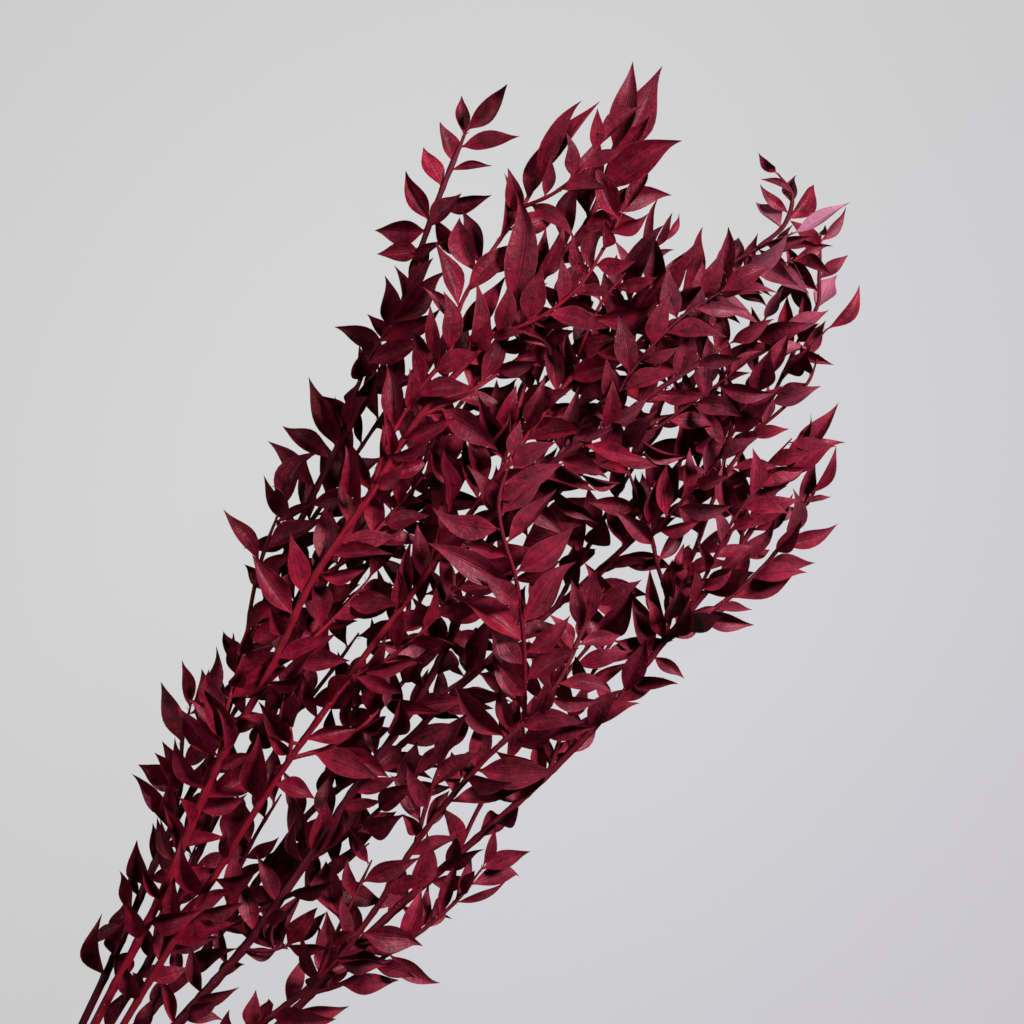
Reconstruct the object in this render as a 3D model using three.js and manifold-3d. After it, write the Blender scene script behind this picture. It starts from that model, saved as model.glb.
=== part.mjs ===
// A bunch of eight dried ruscus stems held by a rubber band, lying on its side.
//
// Millimetres, +Z up. While it is laid out, x runs along the bunch from the band towards the leafy tips,
// y across it and z up from the floor, with the band round the point x = 0, y = 0. The finished group is
// then moved so that its origin is the middle of the bottom of its bounding box.
//
// Each stem is one body: the tapering wood, the side shoots that grow from it, and the pointed blades that
// sit alternately left and right along every shoot.

import * as THREE from 'three';
import { mergeVertices } from 'three/addons/utils/BufferGeometryUtils.js';
import Module from 'manifold-3d';

const wasm = await Module();
wasm.setup();

// ---------------------------------------------------------------- driving dimensions

const BUNDLE_HEIGHT = 9.9; // middle of the bare bundle above the floor
const BUNDLE_RADIUS = 8.5; // out to the bark of the stems that lie round the middle one
const BUNDLE_PLACES = 7; // stems round the middle one
const BUNDLE_END = 14; // the stems run side by side up to here, then fan out
const EYE = [465.9, 3.6, 2255]; // the places of shoots and leaves are given as they look from here,
const SEEN_HEIGHT = 55; // on a level at this height
const FANNED = [40, 120]; // from where on, and from where on fully, this holds
const BAND_INSIDE = 9.05; // radius
const BAND_THICKNESS = 1.4;
const BAND_DIP = 0.5; // how far the surface dips between two turns of the band
const BAND_STRAND = 2.4; // width of one turn
const BAND_TURNS = 4;
const BAND_SIDES = 14;

const MAIN_SIDES = 6; // faces round a main stem
const SHOOT_SIDES = 4; // faces round a side shoot
const SHOOT_RADIUS = [1.15, 0.85]; // where a side shoot starts and ends
const BLADE_THICKNESS = 1.2; // at the midrib
const BLADE_OUTLINE = [[0.36, 1], [0.7, 0.64], [1, 0]]; // place along the blade, share of its width
const FOOT = [1.1, 0.9]; // width and thickness of the short stalk, which starts at the middle of its shoot
const NECK = 0.09; // where along the blade the stalk ends

const LEAF_LENGTH = [27, 41];
const LEAF_RATIO = [0.3, 0.42]; // width to length
const LEAF_STEP_MAIN = 32; // between leaves on a main stem
const LEAF_STEP_SHOOT = 22;
const LEAF_ANGLE = [0.6, 1.05]; // radians between a leaf and its shoot
const END_ANGLE = [0.05, 0.25]; // the same for the leaf at the shoot's end
const LEAF_PITCH = [-0.7, 0.9]; // radians that a leaf is turned up out of level
const PLACED_LIFT = [-5, 9]; // of a placed leaf's tip above its foot
const CROWDED = 9; // no ruled leaf grows closer than this to a placed one
const LIFTS = [0, 6, -6, 12, -12, 18, -18, 25, -25]; // tried in turn for a placed leaf
const PITCHES = [0, 0.35, -0.35, 0.7, -0.7, 1.05, -1.05, 1.35, -1.35]; // and for a ruled one
const SEEDS_PER_STEM = 40;
const FIRST_LEAF = 158; // the wood is bare before this
const MERGED = 0.15; // points closer than this to a flat face are dropped after the pieces are joined
const DEEPEST = -12; // a blade aims no further below the floor than this before it is pressed level
const PRESSED = 0.3; // a blade on the floor is pressed flat at this height, and cut level with the floor
const BLADE_CLEARANCE = 3.0; // between points of blades on two stems
const OWN_CLEARANCE = 2.2; // between points of blades on one stem
const WOOD_CLEARANCE = 2.2; // from a blade's points to another stem's bark
const WOOD_SAMPLES = 3; // between the points that stand for the wood
const BLADE_SAMPLES = 12; // rows of points that stand for a blade
const CELL = 14; // side of the boxes that the points are sorted into

// ---------------------------------------------------------------- the stems

// cut: how far behind the band the stem is cut. place: its place in the bundle, 0 in the middle and 1 to 7
// round it. Routes are [x, y, z]. placed lists leaves whose tips matter for the outline, as
// [x of the foot, x of the tip, y of the tip, width if unusual]; the other leaves follow a rule.
const STEMS = [
  {
    cut: 66, place: 1, radius: [2.2, 1.3],
    route: [[60, 13, 12], [133, 27, 15], [170, 34, 17], [230, 47, 19], [287, 56, 21], [331, 70, 22],
      [374, 81, 23], [440, 93, 23], [480, 97, 22], [530, 113, 18], [577, 127, 15], [606, 134, 12]],
    placed: [[186, 165, 47], [190, 207, 56], [200, 215, 53], [206, 221, 60], [218, 235, 57],
      [318, 336, 80], [362, 367, 97, 9], [388, 372, 101, 9], [398, 408, 115, 10], [418, 424, 123, 11],
      [434, 431, 122, 12], [440, 460, 126, 12], [452, 457, 116, 8], [478, 487, 115, 9],
      [492, 490, 130, 12], [497, 504, 120, 9], [517, 531, 124], [522, 546, 111, 11], [526, 551, 117, 9],
      [545, 530, 134, 12], [555, 541, 143, 14], [559, 571, 148, 14], [562, 559, 88, 14],
      [568, 588, 105, 13], [577, 587, 147, 12], [586, 600, 113], [590, 602, 148, 12], [598, 620, 110],
      [604, 620, 146], [606, 639, 130]],
    shoots: [
      { route: [[235, 48, 19], [249, 53, 25], [262, 60, 29], [277, 70, 32], [294, 77, 33]],
        placed: [[236, 246, 71], [240, 250, 80], [254, 254, 81, 13], [246, 271, 60, 10], [256, 270, 79],
          [275, 294, 96], [289, 311, 64], [292, 309, 94], [294, 325, 81]] },
      { route: [[287, 56, 21], [312, 58, 14], [342, 62, 9], [372, 66, 6], [398, 70, 5]] },
      { route: [[331, 70, 22], [352, 82, 29], [376, 92, 33], [398, 98, 34]] },
      { route: [[440, 93, 23], [462, 100, 32], [484, 106, 36], [506, 108, 38]],
        placed: [[496, 527, 91, 14]] },
      { route: [[374, 81, 23], [400, 82, 14], [428, 83, 9], [456, 84, 6], [482, 85, 5]] },
    ],
  },
  {
    cut: 70, place: 2, radius: [2.3, 1.2],
    route: [[60, 9, 21], [137, 22, 30], [203, 32, 42], [277, 48, 56], [330, 55, 65], [377, 64, 71],
      [430, 66, 77], [477, 69, 80], [530, 64, 80], [570, 60, 78], [611, 59, 74], [640, 68, 70]],
    placed: [[508, 550, 86, 12], [541, 545, 37], [545, 600, 92, 17], [551, 558, 30], [566, 571, 24],
      [566, 598, 66, 12], [588, 622, 75, 13], [598, 622, 40, 14], [606, 644, 78], [612, 643, 33, 13],
      [620, 667, 47], [632, 666, 61], [636, 686, 75], [640, 684, 87, 14]],
    shoots: [
      { route: [[430, 66, 77], [457, 74, 80], [490, 77, 82], [512, 76, 83], [534, 85, 83], [558, 88, 82],
        [592, 89, 78], [614, 91, 74]],
        placed: [[488, 504, 94, 10], [520, 560, 76, 12], [533, 553, 114], [540, 578, 80, 12],
          [572, 601, 105, 10], [596, 628, 98], [606, 655, 99, 10]] },
      { route: [[377, 64, 71], [400, 56, 68], [428, 52, 64], [454, 50, 60]] },
      { route: [[477, 69, 80], [498, 58, 76], [518, 50, 72], [538, 44, 68]] },
      { route: [[277, 48, 56], [300, 60, 58], [322, 68, 58], [346, 74, 56]] },
      { route: [[330, 55, 65], [352, 48, 62], [374, 44, 60], [396, 42, 58]] },
    ],
  },
  {
    cut: 60, place: 7, radius: [2.2, 1.1],
    route: [[60, 8, 7.5], [145, 16, 14], [190, 20, 22], [235, 30, 30], [300, 40, 34], [360, 46, 38],
      [430, 45, 40], [480, 38, 42], [536, 28, 46], [576, 26, 48], [604, 24, 48], [618, 23, 47]],
    placed: [[135, 158, 20, 8], [590, 606, 10], [597, 606, 42, 5], [604, 636, 40, 5], [609, 620, 15, 4],
      [613, 634, 28, 5], [618, 636, 22, 5]],
    shoots: [
      { route: [[182, 19, 21], [199, 19, 30], [211, 24, 36], [223, 29, 40], [240, 34, 42]],
        placed: [[199, 222, 5, 12], [212, 240, 17, 12], [225, 226, 48], [240, 262, 42]] },
      { route: [[300, 40, 34], [322, 32, 32], [346, 30, 30], [372, 30, 28]] },
      { route: [[430, 45, 40], [452, 52, 42], [478, 56, 42], [504, 56, 42], [530, 54, 42]] },
      { route: [[480, 38, 42], [502, 28, 38], [528, 18, 34], [552, 14, 32]] },
    ],
  },
  {
    cut: 72, place: 3, radius: [1.8, 1.1],
    route: [[60, 2, 22], [165, 12, 36], [234, 17, 47], [277, 20, 54], [350, 21, 62], [417, 20, 68],
      [480, 20, 70], [540, 19, 68], [585, 13, 62]],
    placed: [[286, 293, -1, 12], [575, 606, 2], [580, 632, 27, 13], [583, 632, 13, 13],
      [585, 630, 6, 10]],
    shoots: [
      { route: [[301, 20.3, 56.5], [318, 8, 52], [332, 2, 48], [350, -1, 44], [385, -4, 38],
        [403, -7, 35]],
        placed: [[327, 349, 16], [346, 361, 18], [354, 365, -28], [368, 389, 16], [385, 409, 6],
          [403, 424, -16]] },
      { route: [[298, 20.2, 56.2], [309, 26, 60], [316, 33, 62], [326, 39, 62], [340, 41, 60]] },
      { route: [[417, 20, 68], [440, 28, 71], [465, 33, 72], [490, 35, 70]] },
      { route: [[480, 20, 70], [505, 30, 66], [530, 38, 60], [556, 42, 56]] },
    ],
  },
  {
    cut: 75, place: 0, radius: [2.9, 1.2],
    route: [[60, -4, 13], [166, -12, 21], [210, -16, 26], [263, -16, 32], [310, -14, 38], [357, -14, 46],
      [400, -8, 55], [440, 2, 64], [470, 9, 71], [500, 1, 75], [526, -9, 76], [554, -18, 75],
      [580, -28, 73], [598, -35, 70]],
    placed: [[163, 177, -28, 8], [172, 193, -26, 9], [501, 509, -25], [509, 537, 13], [514, 526, -36],
      [535, 556, 6], [598, 622, -44]],
    shoots: [
      { route: [[210, -16, 26], [214, -23, 28], [219, -29, 28], [226, -34, 27]],
        placed: [[219, 236, -18], [222, 251, -25, 13], [224, 238, -50], [226, 250, -38, 10]] },
      { route: [[440, 2, 64], [478, 6, 56], [510, 9, 53], [540, 8, 53], [574, 2, 54], [604, -1, 55],
        [626, -10, 55], [644, -18, 54], [661, -28, 52]],
        placed: [[611, 616, -41, 13], [629, 627, -38], [640, 641, -46], [652, 665, -42],
          [661, 691, -41, 9]] },
      { route: [[644, -18, 54], [664, -22, 54], [677, -16, 55], [681, -4, 54]],
        placed: [[660, 661, -4, 12], [668, 670, 0, 6], [672, 686, -12, 9], [677, 673, 1, 5],
          [681, 683, 9, 6]] },
      { route: [[263, -16, 32], [284, -24, 36], [306, -30, 38], [330, -34, 38]] },
      { route: [[357, -14, 46], [378, -24, 50], [400, -30, 52], [422, -32, 52]] },
      { route: [[500, 1, 75], [520, 2, 70], [545, -2, 66], [570, -6, 64]] },
    ],
  },
  {
    cut: 64, place: 6, radius: [2.2, 1.1],
    route: [[60, 1, 5], [149, 3, 6], [212, -2, 6], [290, -4, 6], [339, -20, 6], [381, -27, 7],
      [440, -42, 8], [520, -58, 12], [554, -60, 18], [576, -47, 26], [592, -34, 30]],
    placed: [[132, 156, 2, 8], [166, 190, -6, 8], [462, 489, -62, 6], [470, 492, -70, 5], [576, 566, -30],
      [592, 612, -22], [590, 607, -44]],
    shoots: [
      { route: [[212, -2, 6], [234, 7, 9], [258, 12, 10], [284, 14, 9]] },
      { route: [[290, -4, 6], [318, 6, 9], [352, 10, 10], [388, 12, 9], [420, 18, 9]] },
      { route: [[212, -2, 6], [236, -14, 8], [262, -28, 9], [290, -36, 8]] },
      { route: [[381, -27, 7], [410, -22, 10], [444, -14, 11], [478, -8, 12], [510, -6, 12]] },
      { route: [[440, -42, 8], [470, -38, 11], [502, -34, 13], [534, -30, 15], [562, -22, 16]] },
      { route: [[388, 12, 9], [418, 30, 11], [448, 42, 11], [478, 50, 11], [508, 56, 10]] },
    ],
  },
  {
    cut: 68, place: 4, radius: [2.1, 1.1],
    route: [[60, -15, 15], [120, -29, 20], [187, -46, 27], [218, -55, 32], [263, -58, 38], [303, -55, 46],
      [357, -58, 54], [385, -63, 58], [410, -65, 58], [438, -60, 56], [462, -56, 54]],
    placed: [[179, 198, -34], [200, 226, -43, 9], [330, 357, -82], [351, 375, -91], [370, 395, -52, 11],
      [373, 380, -23], [376, 394, -42, 8], [381, 401, -90], [401, 417, -88], [427, 436, -41],
      [438, 457, -40], [440, 468, -46]],
    shoots: [
      { route: [[385, -63, 58], [396, -55, 65], [411, -44, 72], [423, -34, 77], [434, -24, 81],
        [443, -14, 85], [451, -3, 88], [458, 5, 90], [466, 12, 91], [475, 16, 91], [487, 19, 91]],
        placed: [[388, 413, -22], [417, 415, 5], [423, 465, -34, 14], [437, 429, 29, 15],
          [442, 479, -26, 14], [447, 438, 15], [451, 488, -7, 13], [456, 441, 36], [461, 491, 1],
          [475, 502, -2], [487, 506, 27]] },
      { route: [[303, -55, 46], [322, -48, 50], [342, -42, 52], [362, -38, 52]],
        placed: [[350, 373, -40, 9]] },
      { route: [[218, -55, 32], [240, -50, 36], [262, -46, 38], [284, -42, 38]] },
    ],
  },
  {
    cut: 58, place: 5, radius: [2.6, 1.2],
    route: [[60, -17, 7], [130, -36, 7], [190, -53, 8], [250, -62, 9], [310, -75, 10], [370, -88, 11],
      [403, -93, 12], [457, -96, 13], [519, -99, 14], [547, -97, 14], [565, -96, 13]],
    placed: [[201, 218, -76], [402, 427, -103, 10], [419, 443, -107], [446, 468, -66, 12],
      [449, 450, -115], [464, 484, -68, 9], [500, 526, -106, 9], [508, 540, -110, 10],
      [528, 556, -105, 9], [558, 594, -106], [561, 594, -96, 9], [565, 609, -95]],
    shoots: [
      { route: [[212, -56, 8.5], [223, -65, 13], [250, -76, 15], [277, -85, 15], [291, -88, 14],
        [314, -89, 13]],
        placed: [[224, 244, -88], [280, 310, -77, 8], [291, 316, -80, 9], [251, 251, -106],
          [291, 315, -104, 5], [312, 334, -103, 10], [314, 334, -82, 7]] },
      { route: [[457, -96, 13], [477, -84, 23], [487, -71, 28], [497, -60, 31], [508, -44, 32],
        [519, -28, 32]],
        placed: [[506, 492, -23, 11]] },
      { route: [[457, -96, 13], [476, -103, 14], [505, -112, 13], [537, -115, 11], [566, -111, 9]],
        placed: [[487, 496, -123], [492, 520, -103, 8], [495, 522, -131], [515, 533, -135],
          [531, 556, -133], [556, 566, -121], [560, 588, -108, 8]] },
      { route: [[457, -96, 13], [480, -88, 20], [510, -80, 26], [540, -72, 29], [570, -71, 30],
        [599, -66, 30], [626, -61, 30], [640, -59, 30], [652, -51, 29], [670, -39, 27]],
        placed: [[548, 564, -90], [566, 581, -83], [590, 605, -80], [612, 621, -83, 8], [650, 669, -57],
          [670, 672, -43, 6]] },
      { route: [[599, -66, 30], [616, -68, 28], [632, -70, 27]] },
      { route: [[310, -75, 10], [336, -70, 13], [364, -68, 14], [392, -68, 13], [420, -66, 14],
        [446, -68, 15]],
        placed: [[362, 390, -57, 11], [372, 399, -80, 11]] },
      { route: [[370, -88, 11], [398, -80, 13], [428, -76, 14], [458, -74, 13]] },
    ],
  },
];

// Where hardly anything grows, as [x, y, radius] of round spots: outside the bunch's outline, and in the
// gaps that go through it. No ruled leaf has its middle or its tip there.
const BARE = [
  [166, 50, 8], [188, 57, 8], [323, 90, 8], [331, 94, 6], [342, 88, 11], [357, 98, 12], [398, 110, 9],
  [468, 113, 10], [484, 124, 6], [506, 123, 9], [190, -30, 7], [206, -31, 9], [262, -27, 5],
  [272, -48, 8], [293, -44, 12], [269, 12, 11], [311, 13, 12], [285, 24, 5], [312, 30, 6],
  [341, 28, 8], [364, 30, 7], [383, -24, 8], [214, -71, 5], [262, -94, 7], [283, -100, 9],
  [326, -95, 6], [331, -66, 11], [344, -97, 10], [358, -94, 8], [371, -101, 9], [390, -100, 13],
  [437, -112, 7], [471, -115, 9], [557, -123, 8], [478, -57, 10], [525, 51, 7], [584, -84, 13],
  [596, -92, 7], [617, -79, 9], [616, -90, 7], [637, -79, 9], [657, -79, 9], [674, -55, 9],
  [664, -44, 5], [640, 22, 10], [640, 6, 8], [684, -1, 8], [688, -31, 8], [615, 110, 8], [630, 98, 6],
  [620, 34, 6], [353, 84, 9], [481, -46, 8], [278, 14, 6], [398, -74, 6], [194, 54, 8], [254, -30, 6],
  [232, 64, 7], [310, 73, 6], [299, -96, 6], [580, -110, 6], [551, -123, 6], [485, 117, 6],
  [509, 115, 5], [649, -62, 5]
];

// ---------------------------------------------------------------- colours

const LEAFY = { color: 0x5d1426, roughness: 0.55, metalness: 0 };
const RUBBER = { color: 0xb99a68, roughness: 0.7, metalness: 0 };

// ---------------------------------------------------------------- small helpers

const UP = new THREE.Vector3(0, 0, 1);

/** A repeatable stream of numbers, each between low and high. */
function draws(seed) {
  let state = seed * 7919 + 12345;
  return (low, high) => {
    state = (state * 1664525 + 1013904223) % 4294967296;
    return low + ((high - low) * state) / 4294967296;
  };
}

function geometryOf(points, triangles) {
  const geometry = new THREE.BufferGeometry().setFromPoints(points);
  geometry.setIndex(triangles.flat());
  return geometry;
}

function solidOf(geometry) {
  return new wasm.Manifold(new wasm.Mesh({
    numProp: 3,
    vertProperties: new Float32Array(geometry.getAttribute('position').array),
    triVerts: new Uint32Array(geometry.index.array),
  }));
}

/** One of three's own closed shapes as a solid, once only its positions are left and they are merged. */
function solidOfShape(geometry) {
  geometry.deleteAttribute('normal');
  geometry.deleteAttribute('uv');
  return solidOf(mergeVertices(geometry, 1e-4));
}

function meshOf(solid, name, finish) {
  const { vertProperties, triVerts } = solid.getMesh();
  const geometry = new THREE.BufferGeometry();
  geometry.setAttribute('position', new THREE.BufferAttribute(vertProperties, 3));
  geometry.setIndex(new THREE.BufferAttribute(triVerts, 1));
  geometry.computeVertexNormals();
  const mesh = new THREE.Mesh(geometry, new THREE.MeshStandardMaterial(finish));
  mesh.name = name;
  return mesh;
}

// ---------------------------------------------------------------- wood

/** The first two points of a stem, where it lies straight in the bundle. */
function bundled(stem) {
  const angle = ((stem.place - 1) / BUNDLE_PLACES) * 2 * Math.PI;
  const reach = stem.place === 0 ? 0 : BUNDLE_RADIUS - stem.radius[0];
  const y = reach * Math.cos(angle);
  const z = BUNDLE_HEIGHT + reach * Math.sin(angle);
  return [[-stem.cut, y, z], [BUNDLE_END, y, z]];
}

/** The real place of a point given as it looks from EYE: what lies low is further out than it looks. */
function truePlace([x, y, z]) {
  const wider = (EYE[2] - z) / (EYE[2] - SEEN_HEIGHT) - 1;
  const held = Math.min(1, Math.max(0, (x - FANNED[0]) / (FANNED[1] - FANNED[0])));
  return new THREE.Vector3(x + (x - EYE[0]) * wider * held, y + (y - EYE[1]) * wider * held, z);
}

/** A closed tapering tube with flat ends along straight lines between the route's points. */
function tube({ route, radius: [startRadius, endRadius] }, sides) {
  const points = [];
  const triangles = [];
  const last = route.length - 1;
  route.forEach((middle, i) => {
    const tangent = route[Math.min(i + 1, last)].clone().sub(route[Math.max(i - 1, 0)]).normalize();
    const side = tangent.clone().cross(UP).normalize();
    const over = side.clone().cross(tangent);
    const radius = startRadius + ((endRadius - startRadius) * i) / last;
    for (let k = 0; k < sides; k++) {
      const angle = (2 * Math.PI * (k + 0.5)) / sides;
      points.push(middle.clone()
        .addScaledVector(side, radius * Math.cos(angle))
        .addScaledVector(over, radius * Math.sin(angle)));
    }
  });
  for (let i = 0; i < last; i++) {
    for (let k = 0; k < sides; k++) {
      const a = i * sides + k;
      const b = i * sides + ((k + 1) % sides);
      triangles.push([a, a + sides, b], [b, a + sides, b + sides]);
    }
  }
  for (let k = 1; k < sides - 1; k++) {
    triangles.push([0, k, k + 1]);
    triangles.push([last * sides, last * sides + k + 1, last * sides + k]);
  }
  return geometryOf(points, triangles);
}

// ---------------------------------------------------------------- blades

/** The share of the blade's full width at s, along straight lines between the outline's points. */
function outlineAt(s) {
  const outline = [[NECK, 0], ...BLADE_OUTLINE];
  const i = Math.max(outline.findIndex(([place]) => s <= place), 1);
  const [[s0, w0], [s1, w1]] = [outline[i - 1], outline[i]];
  return w0 + ((w1 - w0) * (s - s0)) / (s1 - s0);
}

/** The point at s along the blade's midrib, with the direction across it and the one out of its face. */
function ribAt(leaf, s) {
  const axis = leaf.tip.clone().sub(leaf.root);
  const length = axis.length();
  const side = axis.clone().cross(UP).normalize();
  const over = side.clone().cross(axis).normalize();
  const turned = (angle) => [
    side.clone().multiplyScalar(Math.cos(angle)).addScaledVector(over, Math.sin(angle)),
    over.clone().multiplyScalar(Math.cos(angle)).addScaledVector(side, -Math.sin(angle)),
  ];
  const [along, out] = turned(leaf.roll);
  const bow = 4 * s * (1 - s) * length;
  const middle = leaf.root.clone().addScaledVector(axis, s)
    .addScaledVector(out, leaf.arch * bow)
    .addScaledVector(along, leaf.sickle * bow);
  middle.z = Math.max(middle.z, PRESSED);
  const [across, face] = turned(leaf.roll + leaf.twist * (s - 0.4));
  return { middle, across, face };
}

function edgeAt(leaf, s, share) {
  const { middle, across, face } = ribAt(leaf, s);
  const half = 0.5 * leaf.width * outlineAt(s) * share;
  const point = middle.addScaledVector(across, half).addScaledVector(face, Math.abs(half) * leaf.fold);
  point.z = Math.max(point.z, PRESSED);
  return point;
}

/** A folded blade, thick at the midrib, on a short stalk whose foot is inside the shoot. */
function blade(leaf) {
  const neck = ribAt(leaf, NECK);
  const section = (middle, { across, face }) => [
    middle.clone().addScaledVector(across, -FOOT[0] / 2),
    middle.clone().addScaledVector(face, FOOT[1] / 2),
    middle.clone().addScaledVector(across, FOOT[0] / 2),
    middle.clone().addScaledVector(face, -FOOT[1] / 2),
  ];
  const points = [...section(leaf.root, neck), ...section(neck.middle, neck)];
  for (const [s] of BLADE_OUTLINE.slice(0, -1)) {
    const { middle, face } = ribAt(leaf, s);
    points.push(
      edgeAt(leaf, s, -1),
      middle.clone().addScaledVector(face, BLADE_THICKNESS / 2),
      edgeAt(leaf, s, 1),
      middle.clone().addScaledVector(face, -BLADE_THICKNESS / 2),
    );
  }
  const point = points.length;
  points.push(new THREE.Vector3(leaf.tip.x, leaf.tip.y, Math.max(leaf.tip.z, PRESSED)));
  // the same diagonals on both faces, so that a twisted blade never cuts itself
  const triangles = [[0, 3, 2], [0, 2, 1]];
  for (let start = 0; start < point - 4; start += 4) {
    for (let k = 0; k < 4; k++) {
      const [a, b] = [start + k, start + ((k + 1) % 4)];
      if (k % 2 === 0) triangles.push([a, b, b + 4], [a, b + 4, a + 4]);
      else triangles.push([a, b, a + 4], [b, b + 4, a + 4]);
    }
  }
  for (let k = 0; k < 4; k++) triangles.push([point - 4 + k, point - 4 + ((k + 1) % 4), point]);
  return geometryOf(points, triangles);
}

// ---------------------------------------------------------------- room between the stems

const occupied = new Map();
const cellOf = (p) => [p.x, p.y, p.z].map((value) => Math.floor(value / CELL));

/** Notes the points of a blade, or of wood with its radius. */
function occupy(points, stem, radius) {
  for (const point of points) {
    const key = cellOf(point).join();
    if (!occupied.has(key)) occupied.set(key, []);
    occupied.get(key).push({ point, stem, radius });
  }
}

function samplesOf(leaf) {
  const points = [];
  for (let i = 2; i <= BLADE_SAMPLES; i++) {
    for (const share of [-1, -0.5, 0, 0.5, 1]) points.push(edgeAt(leaf, i / BLADE_SAMPLES, share));
  }
  return points;
}

function clearanceTo(other, stem) {
  const isWood = other.radius !== undefined;
  if (isWood) return other.stem === stem ? 0 : other.radius + WOOD_CLEARANCE;
  return other.stem === stem ? OWN_CLEARANCE : BLADE_CLEARANCE;
}

function hasRoom(points, stem) {
  const near = [-1, 0, 1];
  return points.every((point) => {
    const [i, j, k] = cellOf(point);
    return near.every((di) => near.every((dj) => near.every((dk) => {
      const there = occupied.get([i + di, j + dj, k + dk].join()) ?? [];
      return there.every((other) => other.point.distanceTo(point) >= clearanceTo(other, stem));
    })));
  });
}

// ---------------------------------------------------------------- leaves along a shoot

/** The length of the route up to each of its points. */
function lengthsOf(route) {
  const lengths = [0];
  for (let i = 1; i < route.length; i++) lengths.push(lengths[i - 1] + route[i].distanceTo(route[i - 1]));
  return lengths;
}

/** The point at a distance along the shoot, and the way the shoot runs there. */
function walk({ route, lengths }, distance) {
  const found = lengths.findIndex((length) => length >= distance);
  const i = found < 0 ? route.length - 1 : Math.max(found, 1);
  const share = (distance - lengths[i - 1]) / (lengths[i] - lengths[i - 1]);
  const tangent = route[i].clone().sub(route[i - 1]).normalize();
  return { point: route[i - 1].clone().lerp(route[i], share), tangent };
}

/** The distance along the shoot where it seems to pass x. */
function distanceAt({ seenX, lengths }, x) {
  const i = Math.max(seenX.findIndex((seen) => seen >= x), 1);
  const share = Math.min(1, Math.max(0, (x - seenX[i - 1]) / (seenX[i] - seenX[i - 1])));
  return lengths[i - 1] + share * (lengths[i] - lengths[i - 1]);
}

/** The draws that give a leaf its own form. */
function form(draw) {
  return {
    fold: draw(0.12, 0.5),
    arch: draw(-0.03, 0.11),
    sickle: draw(-0.07, 0.07),
    roll: draw(-0.75, 0.75),
    twist: draw(-0.8, 0.8),
  };
}

/** A leaf at a distance along the shoot, to the side that its turn gives, turned up or down by pitch. */
function ruledLeaf(shoot, distance, { turn, pitch, length, ratio, angle, ...own }) {
  const { point, tangent } = walk(shoot, distance);
  const side = tangent.clone().cross(UP).normalize().multiplyScalar(turn);
  const reach = new THREE.Vector3()
    .addScaledVector(tangent, Math.cos(angle))
    .addScaledVector(side, Math.sin(angle) * Math.cos(pitch))
    .addScaledVector(UP, Math.sin(angle) * Math.sin(pitch));
  const tip = point.clone().addScaledVector(reach, length);
  tip.z = Math.max(tip.z, DEEPEST);
  return { root: point, tip, width: length * ratio, ...own };
}

/** Whether the leaf's middle or its tip is over one of the bare spots. */
function overBareSpot({ root, tip }) {
  return [root.clone().lerp(tip, 0.5), tip].some((place) => BARE.some(([x, y, radius]) => (
    truePlace([x, y, place.z]).distanceTo(place) < radius)));
}

/** Tries the leaf that make gives for each change in turn, and keeps the first that has room. */
function settle(make, changes, stemNumber, leaves) {
  for (const change of changes) {
    const leaf = make(change);
    const points = samplesOf(leaf);
    if (hasRoom(points, stemNumber)) {
      occupy(points, stemNumber);
      leaves.push(leaf);
      return;
    }
  }
}

/** The leaves of a shoot whose tips are given, each at the first lift above or below its foot with room. */
function placeLeaves(stemNumber, shoot, shootNumber, leaves) {
  const draw = draws(stemNumber * SEEDS_PER_STEM + shootNumber);
  for (const [footX, tipX, tipY, width] of shoot.placed ?? []) {
    const root = walk(shoot, distanceAt(shoot, footX)).point;
    const lift = draw(...PLACED_LIFT);
    const ratio = draw(...LEAF_RATIO);
    const own = form(draw);
    settle((change) => {
      const tip = truePlace([tipX, tipY, Math.max(root.z + lift + change, DEEPEST)]);
      return { root, tip, width: width ?? tip.distanceTo(root) * ratio, ...own };
    }, LIFTS, stemNumber, leaves);
  }
}

/** The other leaves of a shoot, left and right in turn, with one in line with it at its end. */
function growLeaves(stemNumber, shoot, shootNumber, leaves) {
  const draw = draws((stemNumber + 0.5) * SEEDS_PER_STEM + shootNumber);
  const total = shoot.lengths.at(-1);
  const step = shootNumber === 0 ? LEAF_STEP_MAIN : LEAF_STEP_SHOOT;
  const first = shootNumber === 0 ? distanceAt(shoot, FIRST_LEAF) : step / 2;
  const taken = (shoot.placed ?? []).map(([x]) => distanceAt(shoot, x));
  let turn = shootNumber % 2 === 0 ? 1 : -1;
  for (let distance = first; distance < total + step; distance += step * draw(0.8, 1.2)) {
    const foot = Math.min(distance, total);
    const pitch = draw(...LEAF_PITCH);
    const length = draw(...LEAF_LENGTH);
    const ratio = draw(...LEAF_RATIO);
    const angle = draw(...(foot === total ? END_ANGLE : LEAF_ANGLE));
    const own = form(draw);
    turn = -turn;
    if (taken.some((other) => Math.abs(other - foot) < CROWDED)) continue;
    const make = (change) => (
      ruledLeaf(shoot, foot, { turn, pitch: pitch + change, length, ratio, angle, ...own }));
    settle(make, PITCHES.filter((change) => !overBareSpot(make(change))), stemNumber, leaves);
  }
}

// ---------------------------------------------------------------- the band

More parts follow.
